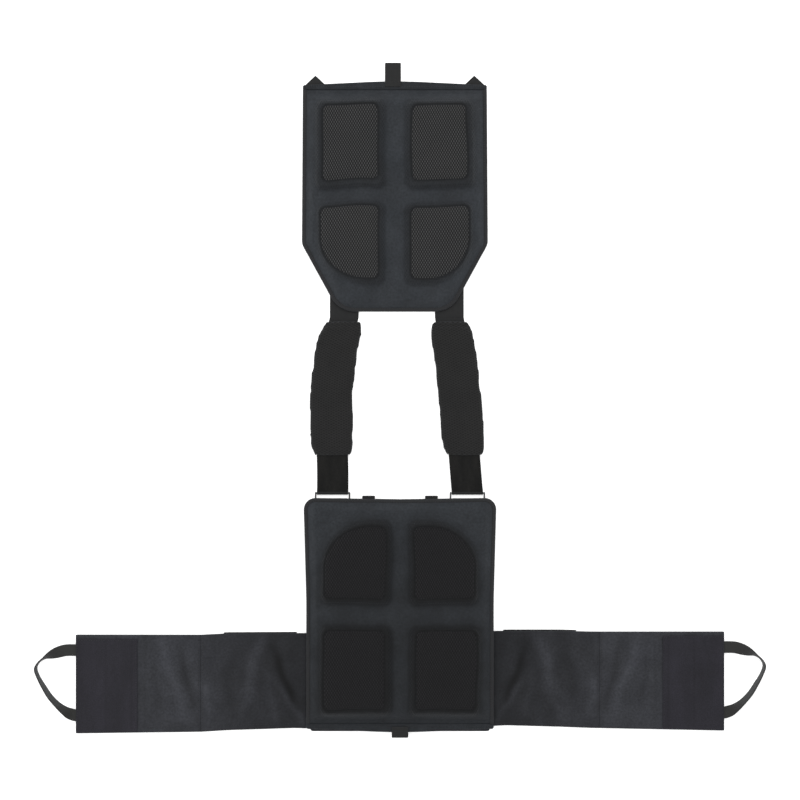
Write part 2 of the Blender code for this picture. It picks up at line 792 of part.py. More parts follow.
def eased_route(route, steps):
    """Steps on a smooth curve through a route's points, apart from its first and last."""
    points = [Vector(point) for point in route]
    eased = []
    for before, start, end, after in zip(points, points[1:], points[2:], points[3:]):
        leave, arrive = (end - before) / 2, (after - start) / 2
        for step in range(steps):
            t = step / steps
            eased.append(start * (2 * t ** 3 - 3 * t ** 2 + 1) + leave * (t ** 3 - 2 * t ** 2 + t)
                         + end * (3 * t ** 2 - 2 * t ** 3) + arrive * (t ** 3 - t ** 2))
    return eased + [points[-2]]


def pull_handle(side, sign, parent):
    """A webbing loop on the wing's end that turns on edge round its outer bend."""
    middle = (BELT_LOW + BELT_HIGH) / 2
    route = eased_route(HANDLE_ROUTE, HANDLE_STEPS)
    rings = []
    for k, place in enumerate(route):
        along = route[min(k + 1, len(route) - 1)].xy - route[max(k - 1, 0)].xy
        along.normalize()
        if k in (0, len(route) - 1):
            along = Vector((1.0 if k == 0 else -1.0, 0.0))
        lean = math.radians(place.z)
        across = Vector((-along.y * math.cos(lean), along.x * math.cos(lean), math.sin(lean)))
        flat = Vector((along.y * math.sin(lean), -along.x * math.sin(lean), math.cos(lean)))
        rise = max(middle, HANDLE_WIDTH / 2 * math.sin(lean) + HANDLE_THICKNESS)
        ring = []
        for wide, thick in ((-1, -1), (0, -1), (1, -1), (1, 1), (0, 1), (-1, 1)):
            point = Vector((place.x, place.y, rise))
            point += across * wide * HANDLE_WIDTH / 2 + flat * thick * HANDLE_THICKNESS / 2
            ring.append((sign * point.x, point.y, point.z))
        rings.append(ring)
    loft(f"pull_handle_{side}", rings, "handle_webbing", parent)


def build():
    clear_scene()
    back, front = back_panel(), front_panel()
    back_pads = {
        "upper": (BACK_UPPER_PAD, BACK_UPPER_WINDOW, 2),
        "lower": (BACK_LOWER_PAD, BACK_LOWER_WINDOW, None),
    }
    front_pads = {
        "upper": (FRONT_UPPER_PAD, FRONT_UPPER_WINDOW, None),
        "lower": (FRONT_LOWER_PAD, FRONT_LOWER_WINDOW, 1),
    }
    root = pivot("back_body", (0.0, 0.0, 0.0))
    build_panel(back, back_pads, 0.026, root, flap_pivot(back, root))
    cummerbund_core(root)
    drag_handle(pivot("drag_handle_axis", (0.0, DRAG_AXIS_Y, DRAG_AXIS_Z), root))
    straps = {}
    for side, sign in (("left", -1), ("right", 1)):
        ring_keeper(side, root)
        ring_axis = pivot(f"ring_axis_{side}", (sign * RING_X, RING_BACK_Y, RING_Z), root)
        strap_ring(side, ring_axis)
        strap_axis = pivot(f"strap_axis_{side}", (sign * RING_X, RING_FRONT_Y, RING_Z), ring_axis)
        strap_webbing(side, strap_axis)
        strap_loop_tape(side, strap_axis)
        shoulder_pad(side, pivot(f"pad_slide_{side}", (sign * RING_X, SLEEVE_Y[0], RING_Z), strap_axis))
        straps[side] = strap_axis
        belt_middle = (BELT_LOW + BELT_HIGH) / 2
        fold = pivot(f"wing_fold_{side}", (sign * WING_FOLD_X, BELT_Y[0], belt_middle), root)
        wrap = pivot(f"wrap_fold_{side}", (sign * WRAP_FOLD_X, BELT_Y[0], belt_middle), fold)
        grip = pivot(f"handle_axis_{side}", (sign * HANDLE_ROUTE[1][0], BELT_Y[0], belt_middle), wrap)
        wing(side, sign, fold, wrap, grip)
    chest_place = (STRAP_FRONT_X["left"], STRAP_FRONT_Y, STRAP_FRONT_Z)
    chest = pivot("chest_axis", chest_place, straps["left"])
    build_panel(front, front_pads, 0.025, chest, flap_pivot(front, chest))
    strap_anchor("left", chest)
    strap_anchor("right", chest)
    corner_tabs(chest)
    front_loop_field(chest)


build()
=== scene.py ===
"""Plate-carrier style body protector, laid open flat with its inner faces up.

Every visible piece is made here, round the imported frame: moulded linings with mesh windows,
bound edges, straps, padded sleeves, the belt's wings and their pull handles.
Axes: +Y runs from the back panel to the chest panel, +X is right, +Z up. Lengths are metres.
"""

import math

import bmesh
import bpy
import numpy as np
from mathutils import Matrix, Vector, geometry


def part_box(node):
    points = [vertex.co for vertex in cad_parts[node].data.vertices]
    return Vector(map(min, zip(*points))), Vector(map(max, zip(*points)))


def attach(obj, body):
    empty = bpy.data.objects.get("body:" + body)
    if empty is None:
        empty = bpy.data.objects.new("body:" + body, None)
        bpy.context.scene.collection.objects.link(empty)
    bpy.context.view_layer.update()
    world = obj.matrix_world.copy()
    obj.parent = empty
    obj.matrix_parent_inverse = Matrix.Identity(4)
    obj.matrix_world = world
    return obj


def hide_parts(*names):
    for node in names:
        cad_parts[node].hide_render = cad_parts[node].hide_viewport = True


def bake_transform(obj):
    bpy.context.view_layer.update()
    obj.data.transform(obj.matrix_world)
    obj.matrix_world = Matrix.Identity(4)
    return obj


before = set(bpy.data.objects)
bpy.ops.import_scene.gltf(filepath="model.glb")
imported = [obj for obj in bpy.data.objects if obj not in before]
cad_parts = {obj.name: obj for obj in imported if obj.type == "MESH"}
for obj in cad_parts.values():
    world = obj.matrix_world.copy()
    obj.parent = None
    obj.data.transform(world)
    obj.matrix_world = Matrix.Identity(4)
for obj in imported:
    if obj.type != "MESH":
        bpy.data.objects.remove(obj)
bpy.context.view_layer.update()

# ---- heights of a panel's layers above its underside ----
GAP = 0.0003
LIP = 0.0008
SHELL_LOW, SHELL_HIGH = 0.0011, 0.0023
FLANGE_LOW, FLANGE_HIGH = 0.0026, 0.0038
LIP_HIGH = 0.0041
SHEET_LOW, SHEET_HIGH = 0.0108, 0.0122
PAD_RIDGE, PAD_FLOOR = 0.0203, 0.0181
MESH_CROWN = 0.0221
FLAP_THICKNESS, TAB_THICKNESS = 0.0016, 0.0014

# ---- insets from a panel's edge ----
BINDING_WIDTH = 0.006
CLOTH_INSET = 0.0011
FLANGE_WIDTH = 0.0064
SHEET_INSET = 0.0165

HALF_LENGTH = 0.5255
WEBBING = 0.0012

# ---- pads on a panel's right-hand side: low x, high x, low y, high y ----
PADS = {
    "back": {
        "upper": ((0.013, 0.122, -0.318, -0.187), (0.022, 0.116, -0.308, -0.197), 2),
        "lower": ((0.013, 0.1255, -0.4905, -0.351), (0.024, 0.118, -0.480, -0.358), None),
    },
    "front": {
        "upper": ((0.015, 0.125, 0.328, 0.467), (0.026, 0.112, 0.342, 0.458), None),
        "lower": ((0.0155, 0.122, 0.178, 0.307), (0.026, 0.115, 0.188, 0.300), 1),
    },
}
TAB_SHIFT = {"front": -0.0030, "back": 0.0}
# painted shade darkening the pads' sloping rims, on each panel
RIM_PAINTED_SHADE = {"front": 0.38, "back": 0.58}
TAB_SEAM = 0.0016
# soft folds in a panel's cloth: x, y, heading in degrees, length, width and height
PANEL_FOLDS = {
    "back": (
        (-0.122, -0.185, -38, 0.035, 0.006, 0.0009), (-0.132, -0.215, -50, 0.030, 0.005, 0.0007),
        (-0.060, -0.172, -12, 0.040, 0.005, 0.0007), (0.118, -0.178, 35, 0.030, 0.006, 0.0008),
        (0.002, -0.250, 84, 0.060, 0.004, -0.0007), (-0.120, -0.335, 8, 0.030, 0.006, 0.0008),
        (0.118, -0.338, -10, 0.030, 0.006, 0.0008), (0.000, -0.335, 3, 0.050, 0.005, 0.0006),
        (0.004, -0.430, 92, 0.055, 0.004, -0.0006),
    ),
    "front": (
        (-0.008, 0.400, 88, 0.060, 0.004, -0.0007), (-0.100, 0.317, 6, 0.035, 0.006, 0.0007),
        (0.090, 0.316, -5, 0.035, 0.006, 0.0007), (-0.070, 0.163, 55, 0.030, 0.006, 0.0009),
        (0.060, 0.162, -52, 0.030, 0.006, 0.0009), (-0.006, 0.160, 92, 0.020, 0.005, 0.0007),
        (-0.135, 0.290, 95, 0.040, 0.005, 0.0006), (0.122, 0.400, 86, 0.050, 0.005, 0.0006),
        (-0.020, 0.318, 2, 0.025, 0.005, 0.0006),
    ),
}
PAD_RADIUS, WINDOW_RADIUS = 0.013, 0.009
PAD_ARC, WINDOW_ARC = 0.077, 0.066

# ---- rings, straps and their sleeves ----
RING_X, RING_Z = 0.1052, 0.0028
RING_BACK_Y, RING_FRONT_Y = -0.156, -0.145
LOOP_RADIUS = 0.0022
KEEPER_WIDTH, KEEPER_END_Y = 0.046, -0.190
STRAP_FRONT_Y, STRAP_FRONT_Z = 0.129, 0.0006
STRAP_FRONT_X = {"left": -0.087, "right": 0.077}
STRAP_BOW = {"left": -0.0116, "right": 0.0035}
STRAP_WIDTH_BACK, STRAP_WIDTH_FRONT = 0.0488, 0.045
STRAP_RUN_Z, STRAP_TAIL_Z, STRAP_TAIL_END_Y = 0.0027, 0.0042, -0.050
STRAP_RAMP_Y = (-0.121, -0.104)
LOOP_TAPE = 0.0008
ANCHOR_END_Y = 0.205
SLEEVE_Y = (-0.089, 0.1235)
SLEEVE_HALF_WIDTH, SLEEVE_END_HALF_WIDTH = 0.0338, 0.0285
SLEEVE_HEIGHT, SLEEVE_END_HEIGHT = 0.0132, 0.0096

# ---- belt ----
BELT_Y = (-0.516, -0.364)
BELT_LOW, BELT_HIGH = 0.0017, 0.0042
WING_FOLD_X, WRAP_FOLD_X, WING_END_X = 0.158, 0.405, 0.506
SEAM_X, OUTER_LAYER_END_X = 0.311, 0.275
OUTER_LAYER_HIGH, HOOK_TAPE_HIGH = 0.0014, 0.0057
# the stretches of cloth that bend at a wing's two folds, the seam before the hook tape and the tape's joints
BELT_MIDDLE_Y, BELT_MIDDLE_Z = -0.44, 0.00295
HOOK_SEAM_X, HOOK_JOINTS_X = 0.3975, (0.4187, 0.4587)

# ---- pull handles: x, y and lean in degrees; the first and last points are left out of the route ----
HANDLE_WIDTH, HANDLE_THICKNESS = 0.018, 0.0014
HANDLE_ROUTE = (
    (0.4900, -0.3880, 0),
    (0.4990, -0.3880, 0),
    (0.5200, -0.3880, 0),
    (0.5330, -0.3910, 15),
    (0.5440, -0.3950, 45),
    (0.5540, -0.3995, 78),
    (0.5630, -0.4065, 86),
    (0.5670, -0.4160, 86),
    (0.5625, -0.4290, 86),
    (0.5540, -0.4440, 80),
    (0.5450, -0.4580, 76),
    (0.5330, -0.4710, 70),
    (0.5200, -0.4815, 48),
    (0.5080, -0.4880, 0),
    (0.4960, -0.4885, 0),
    (0.4900, -0.4885, 0),
)

SIDES = (("left", -1), ("right", 1))


# ------------------------------------------------------------------ numbers and outlines

def ease(value, start, end):
    """0 before start, 1 after end, smooth between. Works on arrays."""
    share = np.clip((value - start) / (end - start), 0.0, 1.0)
    return share * share * (3 - 2 * share)


def waves(x, y, size, seed, count=8):
    """Soft uneven relief, about -1 to 1, with bumps of that size."""
    draw = np.random.default_rng(seed)
    total = np.zeros_like(np.asarray(x, float))
    for _ in range(count):
        heading = draw.uniform(0, math.tau)
        pitch = math.tau / (size * draw.uniform(0.7, 1.7))
        start = draw.uniform(0, math.tau)
        total += np.sin(pitch * (x * math.cos(heading) + y * math.sin(heading)) + start)
    return total / math.sqrt(count) / 1.4


def creases(x, y, lines, seed):
    """Long soft folds: each line is x, y, heading in degrees, length, width and height."""
    total = np.zeros_like(np.asarray(x, float))
    for place_x, place_y, heading, length, width, height in lines:
        heading = math.radians(heading)
        along = (x - place_x) * math.cos(heading) + (y - place_y) * math.sin(heading)
        across = (y - place_y) * math.cos(heading) - (x - place_x) * math.sin(heading)
        across = across + 0.25 * width * np.sin(along / length * 5 + seed)
        total += height * np.exp(-(across / width) ** 2 - (along / length) ** 4)
    return total


def outline(corners, inset=0.0, step=0.006, closed=True):
    """Anticlockwise outline through corners (x, y, radius), moved in by inset, as rows of x, y.

    Outlines of the same corners have equal numbers of points, whatever their inset.
    """
    count = len(corners)
    places = [Vector(corner[:2]) for corner in corners]
    lines = []
    for k in range(count):
        along = (places[(k + 1) % count] - places[k]).normalized()
        lines.append((places[k] + Vector((-along.y, along.x)) * inset, along))
    arcs = []
    for k in range(count):
        (first, before), (second, after) = lines[k - 1], lines[k]
        if not closed and k == 0:
            arcs.append([second])
            continue
        if not closed and k == count - 1:
            arcs.append([first + before * (places[k] - places[k - 1]).length])
            continue
        corner = first + before * ((second - first).cross(after) / before.cross(after))
        radius = corners[k][2]
        turn = math.atan2(before.cross(after), before.dot(after))
        if radius == 0:
            arcs.append([corner])
            continue
        radius = max(radius - math.copysign(inset, turn), 0.0004)
        start = corner - before * radius * math.tan(abs(turn) / 2)
        centre = start + Vector((-before.y, before.x)) * math.copysign(radius, turn)
        steps = max(2, math.ceil(abs(turn) / math.radians(9)), round(abs(turn) * corners[k][2] / step))
        arm = start - centre
        arcs.append([
            centre + Vector((
                arm.x * math.cos(turn * j / steps) - arm.y * math.sin(turn * j / steps),
                arm.x * math.sin(turn * j / steps) + arm.y * math.cos(turn * j / steps),
            ))
            for j in range(steps + 1)
        ])
    points = []
    for k in range(count):
        points += arcs[k]
        if not closed and k == count - 1:
            break
        start, end = arcs[k][-1], arcs[(k + 1) % count][0]
        steps = max(1, round((places[(k + 1) % count] - places[k]).length / step))
        points += [start.lerp(end, j / steps) for j in range(1, steps)]
    return np.array([tuple(point) for point in points])


def looped(ring):
    """An outline that ends where it starts."""
    return np.concatenate([ring, ring[:1]])


def rectangle(low_x, high_x, low_y, high_y, radius):
    return [(x, y, radius) for x, y in ((low_x, low_y), (high_x, low_y), (high_x, high_y), (low_x, high_y))]


def on_side(corners, sign):
    """The same corners, mirrored to the left if sign is negative."""
    return corners if sign > 0 else [(-x, y, radius) for x, y, radius in reversed(corners)]


def shifted(corners, by):
    return [(x + by, y, radius) for x, y, radius in corners]


def depth_in(x, y, ring):
    """How far inside a closed outline each point lies, negative outside."""
    shape = np.shape(x)
    x, y = np.ravel(x), np.ravel(y)
    nearest = np.full(len(x), 1e9)
    inside = np.zeros(len(x), bool)
    for (ax, ay), (bx, by) in zip(ring, np.roll(ring, -1, axis=0)):
        length = (bx - ax) ** 2 + (by - ay) ** 2
        if length == 0:
            continue
        share = np.clip(((x - ax) * (bx - ax) + (y - ay) * (by - ay)) / length, 0, 1)
        nearest = np.minimum(nearest, (x - ax - share * (bx - ax)) ** 2 + (y - ay - share * (by - ay)) ** 2)
        if ay != by:
            crosses = ((ay > y) != (by > y)) & (x < (bx - ax) * (y - ay) / (by - ay) + ax)
            inside ^= crosses
    away = np.sqrt(nearest)
    return np.where(inside, away, -away).reshape(shape)


# ------------------------------------------------------------------ meshes

def make_mesh(name, points, faces, lay=None):
    """A smooth mesh object. lay is each point's place in the cloth: across, along, up."""
    mesh = bpy.data.meshes.new(name)
    mesh.from_pydata([tuple(map(float, point)) for point in points], [], faces)
    mesh.validate()
    mesh.shade_smooth()
    item = bpy.data.objects.new(name, mesh)
    bpy.context.scene.collection.objects.link(item)
    set_lay(item, np.asarray(points, float) if lay is None else lay)
    return item


def set_lay(item, lay):
    layer = item.data.attributes.get("lay") or item.data.attributes.new("lay", "FLOAT_VECTOR", "POINT")
    layer.data.foreach_set("vector", np.asarray(lay, np.float32).ravel())


def set_value(item, name, values):
    """Keeps a number for each point, for its material to read."""
    item.data.attributes.new(name, "FLOAT", "POINT").data.foreach_set("value", np.asarray(values, np.float32))


def points_of(piece):
    place = np.empty(len(piece.data.vertices) * 3)
    piece.data.vertices.foreach_get("co", place)
    return place.reshape(-1, 3)


def move_points(piece, place):
    piece.data.vertices.foreach_set("co", place.ravel())
    piece.data.update()
    return piece


def mend(item, angle=None):
    """Turns all faces outward, and keeps edges sharper than the angle, in degrees, if it is given."""
    shape = bmesh.new()
    shape.from_mesh(item.data)
    bmesh.ops.recalc_face_normals(shape, faces=shape.faces)
    shape.to_mesh(item.data)
    shape.free()
    if angle:
        item.data.shade_smooth()
        item.data.set_sharp_from_angle(angle=math.radians(angle))
    return item


def apply_modifier(piece, kind, **settings):
    modifier = piece.modifiers.new("shape", kind)
    for key, value in settings.items():
        setattr(modifier, key, value)
    seen = piece.evaluated_get(bpy.context.evaluated_depsgraph_get())
    made = bpy.data.meshes.new_from_object(seen)
    piece.modifiers.clear()
    piece.data = made


def tube_faces(total, count):
    """Faces of a tube with flat ends, through that many rings of count points."""
    faces = [tuple(reversed(range(count))), tuple(range((total - 1) * count, total * count))]
    for k in range(total - 1):
        for j in range(count):
            i = (j + 1) % count
            faces.append((k * count + j, k * count + i, (k + 1) * count + i, (k + 1) * count + j))
    return faces


def fill(ring, inner):
    """Points and triangles that fill an outline through inner points, and where its own points went."""
    given = [Vector(point) for point in np.concatenate([ring, inner])]
    count = len(ring)
    edges = [(k, (k + 1) % count) for k in range(count)]
    places, _, faces, origins, _, _ = geometry.delaunay_2d_cdt(given, edges, [], 1, 1e-7)
    order = {source: k for k, sources in enumerate(origins) for source in sources}
    plan = np.array([tuple(place) for place in places])
    return plan, [tuple(face) for face in faces], [order[k] for k in range(count)]


def triangles_in(ring, spacing):
    """An outline filled with even triangles."""
    low, high = ring.min(axis=0), ring.max(axis=0)
    points = []
    for k, y in enumerate(np.arange(low[1], high[1], spacing * 0.866)):
        row = np.arange(low[0] + (spacing / 2 if k % 2 else 0.0), high[0], spacing)
        points.append(np.stack([row, np.full_like(row, y)], 1))
    inner = np.concatenate(points)
    return fill(ring, inner[depth_in(inner[:, 0], inner[:, 1], ring) > spacing * 0.45])


def cloth(name, corners, low, high, spacing=0.006, step=None, tone=None):
    """A closed sheet over a plan, between two heights or height functions, its rim rounded."""
    low_at = low if callable(low) else lambda x, y: np.full(np.shape(x), low)
    high_at = high if callable(high) else lambda x, y: np.full(np.shape(x), high)
    step = step or spacing
    edge = outline(corners, 0.0, step)
    soft = float(np.mean(high_at(edge[:, 0], edge[:, 1]) - low_at(edge[:, 0], edge[:, 1]))) / 2
    rings = []
    for angle in (90, 55, 20, -20, -55, -90):
        ring = outline(corners, soft * (1 - math.cos(math.radians(angle))), step)
        top, under = high_at(ring[:, 0], ring[:, 1]), low_at(ring[:, 0], ring[:, 1])
        height = (top + under) / 2 + (top - under) / 2 * math.sin(math.radians(angle))
        rings.append(np.column_stack([ring, height]))
    plan, top_faces, order = triangles_in(rings[0][:, :2], spacing)
    points = [np.column_stack([plan, high_at(plan[:, 0], plan[:, 1])])]
    count = len(rings[0])
    loops = [order]
    start = len(plan)
    for ring in rings[1:-1]:
        points.append(ring)
        loops.append(list(range(start, start + count)))
        start += count
    points.append(np.column_stack([plan, low_at(plan[:, 0], plan[:, 1])]))
    loops.append([start + k for k in order])
    faces = top_faces + [tuple(start + k for k in reversed(face)) for face in top_faces]
    for upper, lower in zip(loops, loops[1:]):
        for k in range(count):
            j = (k + 1) % count
            faces.append((upper[k], lower[k], lower[j], upper[j]))
    points = np.concatenate(points)
    item = make_mesh(name, points, faces)
    if tone:
        set_value(item, "tone", tone(points[:, 0], points[:, 1]))
    return item


def ribbon(name, frames, width, thickness, across_steps=8):
    """Webbing along frames of (middle, across, up): a flat strip with rounded edges.

    width may be a function of the frame's number.
    """
    half_thick = thickness / 2
    section = [(-1 + 2 * k / across_steps, 1) for k in range(across_steps + 1)]
    section += [(1, 0.45), (1, -0.45)]
    section += [(1 - 2 * k / across_steps, -1) for k in range(across_steps + 1)]
    section += [(-1, -0.45), (-1, 0.45)]
    points, lay, along, last = [], [], 0.0, None
    for k, (middle, across, up) in enumerate(frames):
        middle = Vector(middle)
        along += (middle - last).length if last is not None else 0.0
        last = middle
        half = (width(k) if callable(width) else width) / 2
        for side, face in section:
            inner = half - half_thick * 0.7 if abs(face) == 1 else half
            points.append(middle + Vector(across) * side * inner + Vector(up) * face * half_thick)
            lay.append((side * half, along, face * half_thick))
    return mend(make_mesh(name, points, tube_faces(len(frames), len(section)), lay), 60)


def sweep(name, lines):
    """A body through matching lines of points, one for each corner of its section."""
    lines = [np.asarray(line) for line in lines]
    count, total = len(lines), len(lines[0])
    points = np.concatenate(lines)
    lay = []
    for j, line in enumerate(lines):
        steps = np.r_[0, np.cumsum(np.linalg.norm(np.diff(line, axis=0), axis=1))]
        lay.append(np.column_stack([np.full(total, j * 0.002), steps, line[:, 2]]))
    faces = []
    for j in range(count):
        i = (j + 1) % count
        for k in range(total - 1):
            faces.append((j * total + k, j * total + k + 1, i * total + k + 1, i * total + k))
    faces.append(tuple(j * total for j in range(count)))
    faces.append(tuple((count - 1 - j) * total + total - 1 for j in range(count)))
    return mend(make_mesh(name, points, faces, np.concatenate(lay)), 60)


def stitches(name, lines, length=0.0026, gap=0.0012, width=0.0005):
    """Rows of raised stitches along lines of (x, y, z) points, as one object."""
    points, faces = [], []
    for line in lines:
        line = np.asarray(line, float)
        spans = np.linalg.norm(np.diff(line, axis=0), axis=1)
        reach = np.r_[0, np.cumsum(spans)]
        number = max(1, int(reach[-1] / (length + gap)))
        pitch = reach[-1] / number
        for k in range(number):
            ends = [np.array([np.interp(s, reach, line[:, axis]) for axis in range(3)])
                    for s in (k * pitch + gap / 2, (k + 1) * pitch - gap / 2)]
            along = ends[1] - ends[0]
            side = np.array([-along[1], along[0], 0.0])
            side *= width / 2 / max(np.linalg.norm(side), 1e-9)
            up = np.array([0, 0, width * 0.45])
            start = len(points)
            points += [ends[0] - up * 0.6, ends[1] - up * 0.6]
            for share in (0.2, 0.8):
                middle = ends[0] + along * share
                points += [middle + side, middle + up, middle - side, middle - up]
            for j in range(4):
                i = (j + 1) % 4
                faces.append((start, start + 2 + i, start + 2 + j))
                faces.append((start + 2 + j, start + 2 + i, start + 6 + i, start + 6 + j))
                faces.append((start + 1, start + 6 + j, start + 6 + i))
    return make_mesh(name, points, faces)


# ------------------------------------------------------------------ materials

def node(tree, kind, *inputs, **settings):
    made = tree.nodes.new(kind)
    for key, value in settings.items():
        setattr(made, key, value)
    for socket, value in zip(made.inputs, inputs):
        if value is None:
            continue
        if isinstance(value, bpy.types.NodeSocket):
            tree.links.new(value, socket)
        else:
            socket.default_value = value
    return made


class Look:
    """A cloth's material while it is being built up from nodes."""

    def __init__(self, name, colour, roughness, sheen=0.0, specular=0.25):
        self.material = bpy.data.materials.new(name)
        self.material.use_nodes = True
        self.tree = self.material.node_tree
        self.surface = self.tree.nodes["Principled BSDF"]
        self.surface.inputs["Specular IOR Level"].default_value = specular
        self.surface.inputs["Sheen Weight"].default_value = sheen
        self.surface.inputs["Sheen Roughness"].default_value = 0.5
        self.surface.inputs["Sheen Tint"].default_value = (0.75, 0.80, 0.88, 1.0)
        self.colour = (*colour, 1.0)
        self.roughness = roughness
        self.height = None
        self.place = self.node("ShaderNodeAttribute", attribute_name="lay").outputs["Vector"]
        # tone shifts each point's colour; on the linings and the belt it also holds painted shade and highlight
        tone = self.node("ShaderNodeAttribute", attribute_name="tone").outputs["Fac"]
        self.shade = self.math("ADD", tone, 1.0)
        apart = self.node("ShaderNodeSeparateXYZ", self.place)
        self.across, self.along = apart.outputs[0], apart.outputs[1]

    def node(self, kind, *inputs, **settings):
        return node(self.tree, kind, *inputs, **settings)

    def math(self, operation, *inputs):
        return self.node("ShaderNodeMath", *inputs, operation=operation).outputs[0]

    def noise(self, size, detail=2.0, stretch=None):
        place = self.place
        if stretch:
            place = self.node("ShaderNodeVectorMath", place, stretch, operation="MULTIPLY").outputs[0]
        made = self.node("ShaderNodeTexNoise")
        self.tree.links.new(place, made.inputs["Vector"])
        made.inputs["Scale"].default_value = 1.0 / size
        made.inputs["Detail"].default_value = detail
        return made.outputs[0]

    def ripple(self, value, pitch):
        """A sine of a length, from 0 to 1."""
        wave = self.math("SINE", self.math("MULTIPLY", value, math.tau / pitch))
        return self.math("MULTIPLY_ADD", wave, 0.5, 0.5)

    def weave(self, pitch):
        """Threads over and under, from 0 to 1."""
        first, second = self.ripple(self.across, pitch), self.ripple(self.along, pitch)
        return self.math("ABSOLUTE", self.math("SUBTRACT", first, second))

    def diamonds(self, pitch, swing=-0.5):
        """A net's holes, 1 in their middles and 0 on the threads; its knots if swing is 0.5."""
        hole = None
        across = self.math("DIVIDE", self.across, pitch[0])
        along = self.math("DIVIDE", self.along, pitch[1])
        for operation in ("ADD", "SUBTRACT"):
            lean = self.math("MULTIPLY", self.math(operation, across, along), math.tau)
            wave = self.math("MULTIPLY_ADD", self.math("COSINE", lean), swing, 0.5)
            hole = wave if hole is None else self.math("MULTIPLY", hole, wave)
        return hole

    def add_height(self, value, amount):
        grown = self.math("MULTIPLY", value, amount)
        self.height = grown if self.height is None else self.math("ADD", self.height, grown)

    def add_shade(self, value, low, high):
        """Multiplies the colour by low where value is 0, up to high where it is 1."""
        factor = self.math("MULTIPLY_ADD", value, high - low, low)
        self.shade = self.math("MULTIPLY", self.shade, factor)

    def finish(self, tint=None, rough_noise=0.06):
        base = self.node("ShaderNodeRGB")
        base.outputs[0].default_value = self.colour
        colour = base.outputs[0]
        if tint:
            mix = self.node("ShaderNodeMixRGB", self.noise(0.06), colour, (*tint, 1.0))
            colour = mix.outputs[0]
        scaled = self.node("ShaderNodeVectorMath", colour, operation="SCALE")
        self.tree.links.new(self.shade, scaled.inputs["Scale"])
        self.tree.links.new(scaled.outputs[0], self.surface.inputs["Base Color"])
        grain = self.math("MULTIPLY_ADD", self.noise(0.004), 2 * rough_noise, self.roughness - rough_noise)
        self.tree.links.new(grain, self.surface.inputs["Roughness"])
        bump = self.node("ShaderNodeBump")
        bump.inputs["Strength"].default_value = 1.0
        bump.inputs["Distance"].default_value = 1.0
        self.tree.links.new(self.height, bump.inputs["Height"])
        self.tree.links.new(bump.outputs[0], self.surface.inputs["Normal"])
        return self.material


def woven(name, colour, tint, pitch=0.0011, roughness=0.82):
    """Plain-woven nylon, with the pitted knit of the pads' rims where the piece has them; the rims' painted shade
    reaches the colour through tone.
    """
    look = Look(name, colour, roughness, 0.10)
    weave = look.weave(pitch)
    look.add_height(weave, 0.00010)
    look.add_height(look.noise(0.012, 3.0), 0.00035)
    look.add_shade(weave, 0.84, 1.12)
    look.add_shade(look.noise(0.040, 4.0), 0.60, 1.40)
    look.add_shade(look.noise(0.0035, 2.0), 0.50, 1.50)
    rim = look.node("ShaderNodeAttribute", attribute_name="rim").outputs["Fac"]
    pits = look.math("MULTIPLY", look.diamonds(NET), rim)
    look.add_height(pits, -0.0005)
    look.add_shade(pits, 1.0, 0.55)
    return look.finish(tint)


def spacer_mesh(name, colour, tint, contrast):
    """A diamond net of light threads over dark holes, matched to the net in the geometry."""
    look = Look(name, colour, 0.88, 0.10)
    hole = look.math("POWER", look.diamonds(NET), 0.6)
    threads = look.ripple(look.along, 0.0009)
    look.add_height(threads, 0.00006)
    look.add_height(hole, -0.0004)
    knots = look.diamonds(NET, 0.5)
    look.add_shade(look.math("SUBTRACT", look.math("MULTIPLY", knots, 4.0), hole), 1.0, 1.0 + contrast)
    look.add_shade(threads, 0.85, 1.12)
    look.add_shade(look.noise(0.03, 3.0), 0.85, 1.15)
    return look.finish(tint)


def knit(name, colour, tint):
    """Padded knit with rows of small pits."""
    look = Look(name, colour, 0.90, 0.12)
    pits = look.diamonds((0.0078, 0.0040))
    look.add_height(pits, -0.0007)
    look.add_height(look.noise(0.0012, 2.0), 0.00012)
    look.add_shade(pits, 1.50, 0.20)
    look.add_shade(look.noise(0.02, 3.0), 0.82, 1.18)
    return look.finish(tint)


def webbed(name, colour, tint, roughness=0.75):
    """Flat webbing: ribs along it, crossed by fine weft."""
    look = Look(name, colour, roughness, 0.08)
    ribs, weft = look.ripple(look.across, 0.0019), look.ripple(look.along, 0.0010)
    look.add_height(ribs, 0.00018)
    look.add_height(weft, 0.00007)
    look.add_shade(ribs, 0.72, 1.15)
    look.add_shade(weft, 0.88, 1.08)
    look.add_shade(look.noise(0.03, 3.0), 0.85, 1.15)
    return look.finish(tint)


def fuzzy(name, colour, tint, size, roughness, sheen, mottle):
    """Brushed loops or stiff hooks: fine specks with a nap. mottle is its size and its two shades."""
    look = Look(name, colour, roughness, sheen)
    specks = look.noise(size, 2.0)
    look.add_height(specks, 0.00030)
    look.add_height(look.ripple(look.across, size * 2.2), 0.00009)
    look.add_shade(specks, 0.30, 1.70)
    look.add_shade(look.noise(mottle[0], 3.0, (1.0, 0.25, 1.0)), *mottle[1:])
    return look.finish(tint)


def hard(name, colour, roughness, coat=0.0):
    """A carried-over hard piece: fine grain and wear, placed by its own coordinates."""
    look = Look(name, colour, roughness, 0.0, 0.5)
    look.place = look.node("ShaderNodeTexCoord").outputs["Object"]
    look.surface.inputs["Coat Weight"].default_value = coat
    look.surface.inputs["Coat Roughness"].default_value = 0.12
    grain = look.noise(0.0012, 2.0)
    look.add_height(grain, 0.00002)
    look.add_shade(grain, 0.85, 1.15)
    look.add_shade(look.noise(0.02, 3.0), 0.85, 1.2)
    return look.finish(None, 0.05)


NET = (0.0040, 0.0068)

